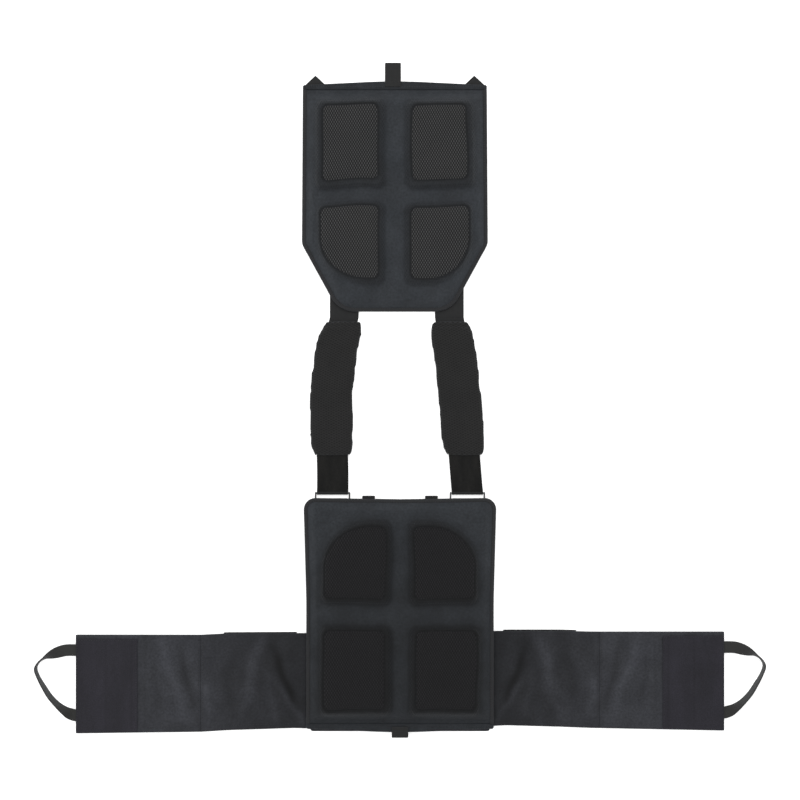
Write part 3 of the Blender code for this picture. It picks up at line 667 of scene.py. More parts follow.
LOOKS = {
    "shell_fabric": woven("shell_nylon", (0.0185, 0.0205, 0.0235), (0.0165, 0.0195, 0.0235)),
    "liner_fabric": woven("liner_nylon", (0.0190, 0.0210, 0.0240), (0.0165, 0.0195, 0.0235), 0.0009, 0.80),
    "foam": woven("moulded_lining", (0.0190, 0.0210, 0.0240), (0.0165, 0.0195, 0.0235), 0.0009, 0.80),
    "belt_fabric": woven("belt_nylon", (0.0192, 0.0200, 0.0230), (0.0176, 0.0184, 0.0224), 0.0011, 0.83),
    "binding_fabric": webbed("edge_tape", (0.0190, 0.0200, 0.0220), (0.0180, 0.0180, 0.0190), 0.80),
    "spacer_mesh": spacer_mesh("front_spacer_mesh", (0.0140, 0.0140, 0.0140), (0.0118, 0.0122, 0.0126), 1.0),
    "back_spacer_mesh": spacer_mesh("back_spacer_mesh", (0.0042, 0.0040, 0.0045), (0.0034, 0.0033, 0.0037), 0.70),
    "knit_mesh": knit("sleeve_knit", (0.0078, 0.0078, 0.0076), (0.0098, 0.0096, 0.0092)),
    "webbing": webbed("strap_webbing", (0.0140, 0.0140, 0.0140), (0.0110, 0.0115, 0.0120)),
    "loop_tape": fuzzy("loop_pile", (0.0046, 0.0044, 0.0037), (0.0056, 0.0054, 0.0050), 0.0009, 0.95, 0.10,
                       (0.016, -0.50, 2.50)),
    "hook_tape": fuzzy("hook_pile", (0.0137, 0.0127, 0.0181), (0.0121, 0.0112, 0.0162), 0.0013, 0.72, 0.05,
                       (0.030, 0.55, 1.45)),
    "handle_webbing": webbed("handle_tape", (0.0260, 0.0260, 0.0245), (0.0210, 0.0210, 0.0205)),
    "armour_plate": hard("plate_composite", (0.030, 0.032, 0.034), 0.45),
    "black_wire": hard("ring_wire", (0.007, 0.007, 0.007), 0.38, 0.4),
}
THREAD = webbed("sewing_thread", (0.0260, 0.0270, 0.0290), (0.0220, 0.0230, 0.0250), 0.65)


def dress(piece, slot, body, *nodes, look=None):
    """Gives a piece its material, picked by its slot unless a look is given, parents it to its body and hides the
    CAD nodes it stands for.
    """
    piece.data.materials.append(look or LOOKS[slot])
    if body:
        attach(piece, body)
    if nodes:
        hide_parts(*nodes)
    return piece


def lay_out(piece, corners, shaped=False):
    """Works out a sheet's width, length and area from its plan, and whether it is shaped: only if asked and it
    doesn't nearly fill its box. Nothing keeps the results.
    """
    ring = outline(corners)
    width, length = [float(size) for size in ring.max(axis=0) - ring.min(axis=0)]
    turned = np.roll(ring, -1, axis=0)
    area = float(abs((ring[:, 0] * turned[:, 1] - ring[:, 1] * turned[:, 0]).sum()) / 2)
    shaped = shaped and area <= 0.985 * width * length


# ------------------------------------------------------------------ camera, floor and light

def studio():
    camera = bpy.data.cameras.new("camera")
    camera.lens, camera.sensor_width = 85.0, 36.0
    item = bpy.data.objects.new("camera", camera)
    item.location = (0.0, 0.0, 2.95)
    bpy.context.scene.collection.objects.link(item)
    bpy.context.scene.camera = item

    floor = bpy.data.meshes.new("floor")
    reach, level = 60.0, -0.0006
    floor.from_pydata([(x, y, level) for x, y, _ in rectangle(-reach, reach, -reach, reach, 0)], [], [(0, 1, 2, 3)])
    ground = bpy.data.objects.new("floor", floor)
    pale = bpy.data.materials.new("floor_paper")
    pale.use_nodes = True
    for socket, value in (
        ("Base Color", (0.95, 0.95, 0.95, 1)), ("Emission Color", (1.0, 1.0, 1.0, 1)), ("Emission Strength", 0.45),
        ("Roughness", 0.9), ("Specular IOR Level", 0.1),
    ):
        pale.node_tree.nodes["Principled BSDF"].inputs[socket].default_value = value
    floor.materials.append(pale)
    bpy.context.scene.collection.objects.link(ground)

    world = bpy.data.worlds.new("studio")
    world.use_nodes = True
    world.node_tree.nodes["Background"].inputs["Color"].default_value = (1.0, 1.0, 1.0, 1)
    world.node_tree.nodes["Background"].inputs["Strength"].default_value = 0.85
    bpy.context.scene.world = world
    for name, place, size, power in (
        ("key", (0.3, 1.2, 2.3), 1.4, 24.0),
        ("fill", (-1.7, -0.2, 1.9), 2.2, 14.0),
    ):
        light = bpy.data.lights.new(name, "AREA")
        light.size, light.energy = size, power
        lamp = bpy.data.objects.new(name, light)
        lamp.location = place
        lamp.rotation_euler = (-Vector(place)).to_track_quat("-Z", "Y").to_euler()
        bpy.context.scene.collection.objects.link(lamp)
    bpy.context.scene.view_settings.view_transform = "Standard"


# ------------------------------------------------------------------ the two panels

class Panel:
    """A panel's plan, the height of its underside and the end where its pocket opens."""

    def __init__(self, name, body, centre_x, base, edge, mouth, far_end):
        self.name, self.body, self.centre_x, self.base, self.edge = name, body, centre_x, base, edge
        self.mouth_half_width, self.flap_y = mouth
        self.end_y, self.crown_y = far_end
        self.outward = math.copysign(1.0, self.end_y)
        self.cut_y = self.flap_y - self.outward * (FLAP_THICKNESS / 2 + GAP)
        self.start_x = -self.outward * self.mouth_half_width

    def bound_edge(self):
        return [(self.start_x, self.cut_y, 0.0), *self.edge, (-self.start_x, self.cut_y, 0.0)]

    def whole_edge(self):
        return [(self.start_x, self.end_y, 0.004), *self.edge, (-self.start_x, self.end_y, 0.004),
                (0.0, self.crown_y, 1.0)]

    def z(self, height):
        return self.base + height


def pad_outlines(panel):
    """Each pad's name, its own corners and its window's, on both sides of the panel."""
    for place, (box, window, arc_corner) in PADS[panel.name].items():
        pair = []
        for sizes, radius, arc in ((box, PAD_RADIUS, PAD_ARC), (window, WINDOW_RADIUS, WINDOW_ARC)):
            corners = rectangle(*sizes, radius)
            if arc_corner is not None:
                x, y, _ = corners[arc_corner]
                corners[arc_corner] = (x, y, arc)
            pair.append(corners)
        for side, sign in SIDES:
            outer, inner = [shifted(on_side(corners, sign), panel.centre_x) for corners in pair]
            yield f"{place}_{side}", outer, inner


def panel_relief(panel):
    """The moulded lining's upper height: flange, slope, flat sheet and four raised pads."""
    edge = outline(shifted(panel.bound_edge(), panel.centre_x), CLOTH_INSET)
    pads = [(outline(outer, step=0.004), outline(inner, step=0.004))
            for _, outer, inner in pad_outlines(panel)]
    seed = 11 if panel.name == "back" else 12

    def height(x, y):
        depth = depth_in(x, y, edge)
        depth = np.maximum(depth, 0.0) + CLOTH_INSET
        rise = ease(depth, BINDING_WIDTH - 0.002, SHEET_INSET + 0.002)
        z = FLANGE_HIGH + 0.0009 * ease(depth, BINDING_WIDTH, BINDING_WIDTH + 0.0012)
        z = z + (SHEET_HIGH - FLANGE_HIGH - 0.0009) * rise
        z = z + rise * (0.0007 * waves(x, y, 0.055, seed) + 0.0003 * waves(x, y, 0.020, seed + 5))
        z = z + ease(depth, 0.007, 0.016) * creases(x, y, PANEL_FOLDS[panel.name], seed)
        for outer, inner in pads:
            near = depth_in(x, y, outer)
            into = depth_in(x, y, inner)
            z = z + (PAD_RIDGE - z) * ease(near, -0.0045, 0.0075)
            z = z - 0.0009 * np.exp(-((near - 0.0005) / 0.0022) ** 2)
            z = z - (PAD_RIDGE - PAD_FLOOR + 0.0003) * ease(into, -0.0022, 0.0012)
        return panel.base + z

    def underside(x, y):
        depth = np.maximum(depth_in(x, y, edge), 0.0) + CLOTH_INSET
        rise = ease(depth, FLANGE_WIDTH + 0.0008, SHEET_INSET + 0.0015)
        return panel.base + FLANGE_LOW + (SHEET_LOW - FLANGE_LOW) * rise

    def rim(x, y):
        """1 on the pads' knitted rims, 0 away from them."""
        shown = 0.0
        for outer, _ in pads:
            shown = np.maximum(shown, ease(depth_in(x, y, outer), -0.0050, 0.0050))
        return shown

    def lining_tone_and_shade(x, y):
        """The lining's colour shift: painted shade in the groove round each window and on the pads' sloping rims,
        random tone, and on the back also painted shade beside the pads and a lighter +Y end; the front lining is
        lighter all over.
        """
        dark = shade_beside_pads = 0.0
        for outer, inner in pads:
            # painted shade in the groove round each window
            dark = dark + np.exp(-((depth_in(x, y, inner) + 0.0010) / 0.0022) ** 2)
            # painted shade on the flat lining beside the pads
            shade_beside_pads = shade_beside_pads + np.exp(np.minimum(depth_in(x, y, outer), 0.0) / 0.010)
        # back: lighter towards +Y, less the painted shade beside the pads; front: lighter all over
        tone_shift = 0.18 if panel.name == "front" else 0.22 * ease(y, -0.36, -0.17) - 0.07 - 0.42 * shade_beside_pads
        tone_shift = tone_shift + 0.07 * waves(x, y, 0.050, seed + 3) + 0.05 * waves(x, y, 0.018, seed + 4)
        # the pads' sloping rims are darkened by painted shade
        return (1 - 0.60 * np.minimum(dark, 1.0)) * (1 + tone_shift) * (1 - RIM_PAINTED_SHADE[panel.name] * rim(x, y)) - 1

    return height, underside, rim, lining_tone_and_shade


def soften(piece, pressure, cap, frames, pinned):
    """Blows a closed cloth up a little, so that it looks filled, moving no point beyond cap."""
    start = points_of(piece)
    group = piece.vertex_groups.new(name="held")
    for index in np.nonzero(pinned)[0]:
        group.add([int(index)], 1.0, "REPLACE")
    modifier = piece.modifiers.new("filled", "CLOTH")
    for key, value in {
        "quality": 4, "mass": 0.15, "tension_stiffness": 12, "compression_stiffness": 12, "shear_stiffness": 5,
        "bending_stiffness": 0.8, "use_pressure": True, "uniform_pressure_force": pressure,
        "vertex_group_mass": "held",
    }.items():
        setattr(modifier.settings, key, value)
    modifier.settings.effector_weights.gravity = 0
    scene = bpy.context.scene
    for number in range(1, frames + 1):
        scene.frame_set(number)
    seen = piece.evaluated_get(bpy.context.evaluated_depsgraph_get())
    step = points_of(seen) - start
    reach = np.linalg.norm(step, axis=1, keepdims=True)
    step *= np.minimum(1.0, cap / np.maximum(reach, 1e-9))
    piece.modifiers.remove(modifier)
    piece.vertex_groups.clear()
    scene.frame_set(1)
    move_points(piece, start + step)


def pull(piece, panel):
    """Shifts a panel's moulding a little in plan, so that its pads aren't perfectly regular."""
    edge = outline(shifted(panel.bound_edge(), panel.centre_x))
    place = points_of(piece)
    x, y = place[:, 0].copy(), place[:, 1].copy()
    free = ease(depth_in(x, y, edge), 0.010, 0.028)
    seed = 140 if panel.name == "back" else 150
    for axis in (0, 1):
        place[:, axis] += 0.0019 * free * waves(x, y, 0.120, seed + axis)
    return move_points(piece, place)


def mesh_window(panel, name, corners, seed):
    """A crowned window of diamond net whose holes are sunk in the surface."""
    ring = outline(corners, GAP, 0.0035)
    low, high = ring.min(axis=0), ring.max(axis=0)
    floor, crown = panel.z(PAD_FLOOR + GAP), panel.z(MESH_CROWN)
    edge_top = panel.z(PAD_RIDGE - 0.0016)

    def height(x, y):
        depth = np.maximum(depth_in(x, y, ring), 0.0)
        z = edge_top + (crown - edge_top) * (1 - np.exp(-depth / 0.0075))
        net = np.ones(np.shape(x))
        for lean in (x / NET[0] + y / NET[1], x / NET[0] - y / NET[1]):
            net = net * (0.5 - 0.5 * np.cos(math.tau * lean))
        return z - 0.0008 * ease(depth, 0.0005, 0.003) * net ** 0.6 + 0.00025 * waves(x, y, 0.03, seed)

    pitch_x, pitch_y = NET[0] / 4, NET[1] / 4
    xs = np.arange(math.floor(low[0] / pitch_x), math.ceil(high[0] / pitch_x) + 1) * pitch_x
    ys = np.arange(math.floor(low[1] / pitch_y), math.ceil(high[1] / pitch_y) + 1) * pitch_y
    grid_x, grid_y = [axis.ravel() for axis in np.meshgrid(xs, ys)]
    plan, faces, order = fill(ring, np.column_stack([grid_x, grid_y])[depth_in(grid_x, grid_y, ring) > 0.0009])
    top = np.column_stack([plan, height(plan[:, 0], plan[:, 1])])
    start, count = len(top), len(ring)
    under = np.column_stack([ring, np.full(count, floor)])
    for k in range(count):
        j = (k + 1) % count
        faces.append((order[k], start + k, start + j, order[j]))
    faces.append(tuple(start + k for k in reversed(range(count))))
    return make_mesh(f"{panel.name}_net_{name}", np.concatenate([top, under]), faces)


def binding(panel):
    """A tape folded over the panel's edge, with a row of stitches near its inner side."""
    soft, top = LIP * 0.75, LIP_HIGH + LIP
    profile = (
        (0.0030, 0.0), (BINDING_WIDTH - 0.0003, 0.0001), (BINDING_WIDTH, 0.0004), (BINDING_WIDTH - 0.0003, LIP),
        (LIP, LIP), (LIP, LIP_HIGH), (BINDING_WIDTH - 0.0003, LIP_HIGH), (BINDING_WIDTH, LIP_HIGH + 0.0004),
        (BINDING_WIDTH - 0.0003, top - 0.0001), (0.0040, top + 0.0001), (0.0022, top), (soft, top - 0.0003),
        (0.0001, top - 0.0014), (0.0, top / 2), (0.0001, 0.0014), (soft, 0.0003),
    )
    corners = shifted(panel.bound_edge(), panel.centre_x)
    lines = []
    for inset, height in profile:
        ring = outline(corners, inset, 0.005, closed=False)
        rise = np.full(len(ring), panel.z(height))
        if inset > 0.003 and height > LIP_HIGH:
            rise = rise + 0.00012 * waves(ring[:, 0], ring[:, 1], 0.02, 30)
        lines.append(np.column_stack([ring, rise]))
    tape = sweep(f"{panel.name}_edge_tape", lines)
    dress(tape, "binding_fabric", panel.body, f"{panel.name}_edge_binding")
    edge = outline(corners, 0.0, 0.005, closed=False)
    row = outline(corners, 0.0045, 0.005, closed=False)
    return np.column_stack([row, np.full(len(row), panel.z(top) + 0.0001)])


def build_panel(panel, tab_width, flap_body):
    """All the soft pieces of one panel."""
    name = panel.name
    corners = shifted(panel.bound_edge(), panel.centre_x)
    height, underside, rim, lining_tone_and_shade = panel_relief(panel)
    moulded = outline_inset(corners, CLOTH_INSET)
    lining = cloth(f"{name}_lining", moulded, underside, height, spacing=0.0024, step=0.004, tone=lining_tone_and_shade)
    set_value(lining, "rim", rim(*points_of(lining)[:, :2].T))
    pads = [f"{name}_pad_{place}_{side}" for place in ("upper", "lower") for side, _ in SIDES]
    dress(pull(lining, panel), "foam", panel.body, f"{name}_inner_liner", *pads, look=LOOKS["liner_fabric"])
    rows = [binding(panel)]
    for k, (place, outer, inner) in enumerate(pad_outlines(panel)):
        window = mesh_window(panel, place, inner, 40 + k)
        look = LOOKS["spacer_mesh"] if name == "front" else LOOKS["back_spacer_mesh"]
        dress(pull(window, panel), "spacer_mesh", panel.body, f"{name}_mesh_{place}", look=look)

    plan = outline_inset(shifted(panel.whole_edge(), panel.centre_x), CLOTH_INSET)
    seed = 60 if name == "back" else 61
    shell = cloth(f"{name}_shell", plan,
                  lambda x, y: panel.z(SHELL_LOW) + 0.00025 * (waves(x, y, 0.05, seed) - 1) * 0.5,
                  panel.z(SHELL_HIGH), spacing=0.009)
    dress(shell, "shell_fabric", panel.body, f"{name}_outer_shell")
    lay_out(shell, plan, shaped=True)

    rows += closure(panel, flap_body)
    tab(panel, tab_width, flap_body)
    dress(stitches(f"{name}_edge_stitches", rows[:1]), "binding_fabric", panel.body, look=THREAD)
    dress(stitches(f"{name}_flap_stitches", rows[1:]), "shell_fabric", flap_body, look=THREAD)


def outline_inset(corners, inset):
    """Corners whose outline is the given one moved in. Radii shrink with it."""
    count = len(corners)
    places = [Vector(corner[:2]) for corner in corners]
    moved = []
    for k in range(count):
        before = (places[k] - places[k - 1]).normalized()
        after = (places[(k + 1) % count] - places[k]).normalized()
        first = places[k - 1] + Vector((-before.y, before.x)) * inset
        second = places[k] + Vector((-after.y, after.x)) * inset
        corner = first + before * ((second - first).cross(after) / before.cross(after))
        turn = before.cross(after)
        radius = corners[k][2]
        if radius:
            radius = max(radius - math.copysign(inset, turn), 0.0004)
        moved.append((corner.x, corner.y, radius))
    return moved


def closure(panel, body):
    """The strip that closes the plate pocket, seamed along both its long sides."""
    half, out = panel.mouth_half_width, panel.outward
    low = panel.z(FLANGE_LOW)
    near = panel.flap_y - out * FLAP_THICKNESS / 2
    corners = [(-half, near, 0.0003), (half, near, 0.0003), (half, panel.end_y - out * 0.001, 0.003),
               (0.0, panel.crown_y, 1.0), (-half, panel.end_y - out * 0.001, 0.003)]
    if out < 0:
        corners = corners[::-1]
    corners = shifted(corners, panel.centre_x)
    flap = cloth(f"{panel.name}_flap", corners, low,
                 lambda x, y: low + FLAP_THICKNESS
                 + 0.00018 * waves(x, y, 0.02, 71) * ease(np.abs(y - panel.flap_y), 0.001, 0.004),
                 spacing=0.0035, tone=lambda x, y: -0.16 + 0.10 * waves(x, y, 0.02, 72))
    dress(flap, "shell_fabric", body, f"{panel.name}_closure_flap")
    lay_out(flap, corners, shaped=True)
    xs = np.linspace(-half + 0.004, half - 0.004, 60)
    far = panel.end_y + (panel.crown_y - panel.end_y) * (1 - np.abs(xs) / half)
    top = low + FLAP_THICKNESS + 0.0001
    rows = []
    for y in (np.full_like(xs, panel.flap_y + out * 0.0034), far - out * 0.0022):
        rows.append(np.column_stack([xs + panel.centre_x, y, np.full_like(xs, top)]))
    return rows


def tab(panel, width, body):
    """A folded webbing tab with a stitched root."""
    low = panel.z(FLANGE_LOW) + FLAP_THICKNESS + GAP
    far, root = panel.outward * HALF_LENGTH, panel.flap_y + panel.outward * 0.003

    def plan(end, radius):
        return shifted(rectangle(-width / 2, width / 2, *sorted((root, end)), radius),
                       panel.centre_x + TAB_SHIFT[panel.name])

    def height(x, y):
        return low + TAB_THICKNESS + 0.0007 * ease(np.abs(y - root), 0.010, np.abs(far - root) - 0.002)

    piece = cloth(f"{panel.name}_tab", plan(far, 0.0015), low, height, spacing=0.003)
    dress(piece, "webbing", body, f"{panel.name}_pull_tab")
    lay_out(piece, plan(far, 0.0015))
    row = looped(outline(outline_inset(plan(root + panel.outward * 0.009, 0.0004), TAB_SEAM)))
    row = np.column_stack([row, np.full(len(row), low + TAB_THICKNESS + 0.0001)])
    dress(stitches(f"{panel.name}_tab_stitches", [row], 0.0020, 0.0008), "webbing", body, look=THREAD)


# ------------------------------------------------------------------ straps

def strap_centre(side, y):
    sign = -1 if side == "left" else 1
    share = min(max((y - RING_FRONT_Y) / (STRAP_FRONT_Y - RING_FRONT_Y), 0.0), 1.0)
    straight = sign * RING_X * (1 - share) + STRAP_FRONT_X[side] * share
    return straight + STRAP_BOW[side] * math.sin(math.pi * share ** 1.4)


def strap_width(y):
    share = min(max((y + 0.08) / 0.14, 0.0), 1.0)
    return STRAP_WIDTH_BACK * (1 - share) + STRAP_WIDTH_FRONT * share


def strap_frames(path, centre):
    """Frames along a path of (y, z) points, the webbing's width staying level."""
    frames = []
    for k, (y, z) in enumerate(path):
        before, after = path[max(k - 1, 0)], path[min(k + 1, len(path) - 1)]
        along = Vector((0.0, after[0] - before[0], after[1] - before[1])).normalized()
        frames.append(((centre(y), y, z), (1.0, 0.0, 0.0), (0.0, -along.z, along.y)))
    return frames


def turn_round(bar_y, direction=1, steps=14):
    """Half turn round a ring's bar from the top to the underside."""
    points = []
    for k in range(steps + 1):
        angle = math.radians(90 + 180 * k / steps)
        points.append((bar_y + direction * LOOP_RADIUS * math.cos(angle), RING_Z + LOOP_RADIUS * math.sin(angle)))
    return points


def smooth_line(points, steps=4):
    """A finer line on a smooth curve through points of any dimension."""
    points = [Vector(point) for point in points]
    made = []
    for k in range(len(points) - 1):
        before, start = points[max(k - 1, 0)], points[k]
        end, after = points[k + 1], points[min(k + 2, len(points) - 1)]
        leave, arrive = (end - before) / 2, (after - start) / 2
        for step in range(steps):
            t = step / steps
            made.append(start * (2 * t ** 3 - 3 * t ** 2 + 1) + leave * (t ** 3 - 2 * t ** 2 + t)
                        + end * (3 * t ** 2 - 2 * t ** 3) + arrive * (t ** 3 - t ** 2))
    return made + points[-1:]


def path_length(path):
    return sum((Vector(b) - Vector(a)).length for a, b in zip(path, path[1:]))


def straps():
    """For each side the strap, its loop tape, its ring's keeper and its sleeve."""
    ramp, flat = STRAP_RAMP_Y
    for side, sign in SIDES:
        ring_x = sign * RING_X
        turn = turn_round(RING_FRONT_Y)
        path = [(STRAP_TAIL_END_Y, STRAP_TAIL_Z), (-0.078, STRAP_TAIL_Z), (flat, STRAP_TAIL_Z),
                (ramp, (STRAP_TAIL_Z + turn[0][1]) / 2), (RING_FRONT_Y + 0.007, turn[0][1]), *turn,
                (RING_FRONT_Y + 0.007, turn[-1][1]), (ramp, (STRAP_RUN_Z + turn[-1][1]) / 2), (flat, STRAP_RUN_Z)]
        path += [(flat + 0.204 * k / 16, STRAP_RUN_Z) for k in range(1, 17)]
        path += [(0.112, 0.0021), (0.122, 0.0010), (0.1260, STRAP_FRONT_Z)]
        if side == "left":
            path += [(0.126 + 0.006 * k / 8, STRAP_FRONT_Z) for k in range(1, 9)]
            path += [(0.150, STRAP_FRONT_Z), (0.178, STRAP_FRONT_Z), (ANCHOR_END_Y, STRAP_FRONT_Z)]
        else:
            path.append((STRAP_FRONT_Y + WEBBING / 2, STRAP_FRONT_Z))
        frames = strap_frames(path, lambda y: strap_centre(side, y))
        strap = ribbon(f"{side}_strap", frames, lambda k: strap_width(path[k][0]), WEBBING)
        path_length(path)
        if side == "left":
            dress(strap, "webbing", None, "strap_webbing_left", "strap_anchor_left")
            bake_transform(strap)
        else:
            dress(strap, "webbing", "right_strap", "strap_webbing_right")
            anchor()

        lift = WEBBING / 2 + GAP + LOOP_TAPE / 2
        tail, top = STRAP_TAIL_Z + lift, RING_Z + LOOP_RADIUS
        path = [(STRAP_TAIL_END_Y, tail), (-0.078, tail), (flat, tail), (-0.113, tail + 0.0001),
                (ramp, (STRAP_TAIL_Z + top) / 2 + lift), (RING_FRONT_Y + 0.007, top + lift),
                (RING_FRONT_Y + 0.002, top + lift)]
        frames = strap_frames(path, lambda y: strap_centre(side, y))
        tape = ribbon(f"{side}_strap_pile", frames, lambda k: strap_width(path[k][0]) - 0.001, LOOP_TAPE)
        dress(tape, "loop_tape", f"{side}_strap", f"strap_loop_tape_{side}")
        path_length(path)

        turn = [(2 * RING_BACK_Y - y, z) for y, z in turn_round(RING_BACK_Y)]
        path = [(KEEPER_END_Y, turn[0][1]), (-0.172, turn[0][1]), *turn, (-0.172, turn[-1][1]),
                (KEEPER_END_Y, turn[-1][1])]
        keeper = ribbon(f"{side}_ring_keeper", strap_frames(path, lambda y: ring_x), KEEPER_WIDTH, WEBBING)
        dress(keeper, "webbing", "back_panel", f"ring_keeper_{side}")
        path_length(path)

        sleeve(side)


def anchor():
    """The right strap's fixed end, whose tip turns in the strap's own rounded end."""
    x = STRAP_FRONT_X["right"]
    path = [(y, STRAP_FRONT_Z) for y in (STRAP_FRONT_Y - WEBBING / 2, 0.138, 0.170, ANCHOR_END_Y)]
    piece = ribbon("right_strap_anchor", strap_frames(path, lambda y: x), STRAP_WIDTH_FRONT, WEBBING)
    dress(piece, "webbing", "chest_panel", "strap_anchor_right")
    path_length(path)


def sleeve_half(y):
    """Half the width that a sleeve should have at y."""
    edge = min(max(min(y - SLEEVE_Y[0], SLEEVE_Y[1] - y), 0.0) / 0.030, 1.0)
    return SLEEVE_END_HALF_WIDTH + (SLEEVE_HALF_WIDTH - SLEEVE_END_HALF_WIDTH) * math.sin(edge * math.pi / 2)


def sleeve(side):
    """A puffy padded sleeve of knit mesh, open at both ends where the webbing comes out."""
    low_y, high_y = SLEEVE_Y
    corners = 40
    places = [0.0, 0.012, 0.03] + [0.03 + 0.94 * k / 22 for k in range(1, 22)] + [0.97, 0.988, 1.0]
    rings = []
    for place in places:
        y = low_y + (high_y - low_y) * place
        edge = min(y - low_y, high_y - y)
        full = math.sin(min(edge / 0.030, 1.0) * math.pi / 2)
        tuck = 0.86 + 0.14 * math.sin(min(edge / 0.005, 1.0) * math.pi / 2)
        half = sleeve_half(y) * (0.5 + 0.5 * tuck)
        top = (SLEEVE_END_HEIGHT + (SLEEVE_HEIGHT - SLEEVE_END_HEIGHT) * full) * tuck - 0.0012
        x = strap_centre(side, y)
        ring = []
        for k in range(corners):
            angle = math.tau * k / corners
            across, up = math.cos(angle), math.sin(angle)
            across = math.copysign(abs(across) ** 0.62, across)
            up = math.copysign(abs(up) ** 0.72, up)
            wander = 0.0006 * math.sin(y * 90 + (2.0 if across > 0 else 0.0) + (1 if side == "left" else 0))
            ring.append((x + (half + wander) * across, y, 0.0006 + top / 2 + top / 2 * up))
        rings.append(ring)
    points = [point for ring in rings for point in ring]
    piece = mend(make_mesh(f"{side}_sleeve", points, tube_faces(len(rings), corners)))
    apply_modifier(piece, "REMESH", mode="VOXEL", voxel_size=0.0036)
    place = points_of(piece)
    reach = np.abs(place[:, 0] - [strap_centre(side, y) for y in place[:, 1]])
    soften(piece, 4.0, 0.0030, 16, reach > [sleeve_half(y) - 0.004 for y in place[:, 1]])
    apply_modifier(piece, "SMOOTH", factor=0.5, iterations=12)
    apply_modifier(piece, "SUBSURF", levels=1)
    place = points_of(piece)
    middle = np.array([strap_centre(side, y) for y in place[:, 1]])
    across = place[:, 0] - middle
    slices = np.linspace(SLEEVE_Y[0], SLEEVE_Y[1], 30)
    widest = [np.abs(across[np.abs(place[:, 1] - y) < 0.006]).max() for y in slices]
    wanted = [sleeve_half(y) for y in slices]
    across = across * np.interp(place[:, 1], slices, np.array(wanted) / widest)
    place[:, 0] = middle + across
    upper = ease(place[:, 2], 0.005, 0.009)
    ends = np.minimum(place[:, 1] - SLEEVE_Y[0], SLEEVE_Y[1] - place[:, 1])
    place[:, 2] -= 0.0009 * np.exp(-((ends - 0.0075) / 0.0020) ** 2) * upper
    place[:, 2] += upper * 0.0006 * waves(place[:, 0], place[:, 1], 0.03, 80 if side == "left" else 81)
    place[:, 2] = np.maximum(place[:, 2], 0.0002)
    move_points(piece, place)
    cut_mouths(piece, side)
    place = points_of(piece)
    middle = np.array([strap_centre(side, y) for y in place[:, 1]])
    set_lay(piece, np.column_stack([place[:, 0] - middle, place[:, 1], place[:, 2]]))
    piece.data.shade_smooth()
    piece.data.set_sharp_from_angle(angle=math.radians(50))
    dress(piece, "knit_mesh", f"{side}_pad", f"shoulder_pad_{side}")


def cut_mouths(piece, side):
    """Sinks a slot into both ends of a sleeve, for the webbing to come out of."""
    for end, low, high, half in ((SLEEVE_Y[0], 0.0012, 0.0072, 0.0252), (SLEEVE_Y[1], 0.0004, 0.0046, 0.0236)):
        inward = 1 if end < 0 else -1
        y_near, y_far = sorted((end - inward * 0.006, end + inward * 0.013))
        bpy.ops.mesh.primitive_cube_add()
        slot = bpy.context.active_object
        slot.scale = (half, (y_far - y_near) / 2, (high - low) / 2)
        slot.location = (strap_centre(side, end), (y_near + y_far) / 2, (low + high) / 2)
        bpy.context.view_layer.update()
        apply_modifier(piece, "BOOLEAN", operation="DIFFERENCE", object=slot, solver="EXACT")
        bpy.data.objects.remove(slot, do_unlink=True)


# ------------------------------------------------------------------ belt

# how far the belt's upper and lower edges lie out of line, at places along x
BELT_LIE_X = (-0.500, -0.310, -0.270, -0.165, 0.0, 0.165, 0.250, 0.300, 0.500)
BELT_LIE_HIGH = (-0.0020, -0.0022, 0.0, 0.0005, 0.0, 0.0042, 0.0042, 0.0028, 0.0028)
BELT_LIE_LOW = (-0.0042, -0.0018, 0.0008, 0.0042, 0.0, 0.0085, 0.0062, 0.0042, 0.0002)

# folds across the belt: distance from the middle, y, heading in degrees, length, width and weight
BELT_FOLDS = (
    (0.356, -0.425, 71, 0.060, 0.0075, 1.0), (0.333, -0.432, 76, 0.055, 0.0060, -0.8),
    (0.381, -0.440, 82, 0.045, 0.0065, -0.5), (0.300, -0.468, 80, 0.030, 0.0070, 0.8),
    (0.2285, -0.415, 106, 0.055, 0.0095, 0.9), (0.268, -0.440, 97, 0.050, 0.0090, -0.5),
    (0.181, -0.435, 70, 0.050, 0.0070, -0.9), (0.202, -0.460, 78, 0.045, 0.0070, 0.5),
    (0.168, -0.480, 58, 0.040, 0.0050, 0.8), (0.245, -0.485, 120, 0.030, 0.0070, 0.5),
)


def belt_top(x, y):
    """The belt's upper height: soft folds, a sewn seam and flat hems, the same on every length."""
    reach = np.abs(x)
    low_y, high_y = BELT_Y
    hem = np.minimum(y - low_y, high_y - y)
    loose = ease(reach, 0.150, 0.185) * (1 - ease(reach, 0.392, 0.402))
    inner = ease(hem, 0.003, 0.022)
    lift = 0.0016 * waves(x, y * 0.6, 0.085, 90) + 0.0007 * waves(x, y, 0.030, 91)
    lift = lift + 0.0022 * creases(reach, y, BELT_FOLDS, 1.0)
    seam = np.exp(-((reach - SEAM_X) / 0.0016) ** 2)
    stitch = np.exp(-((reach - HOOK_SEAM_X) / 0.0012) ** 2)
    hem_line = np.exp(-((hem - 0.0075) / 0.0012) ** 2)
    return (BELT_HIGH + np.maximum(lift, -0.0009) * loose * inner - 0.0007 * seam * loose - 0.0005 * stitch * loose
            - 0.0004 * hem_line * loose)


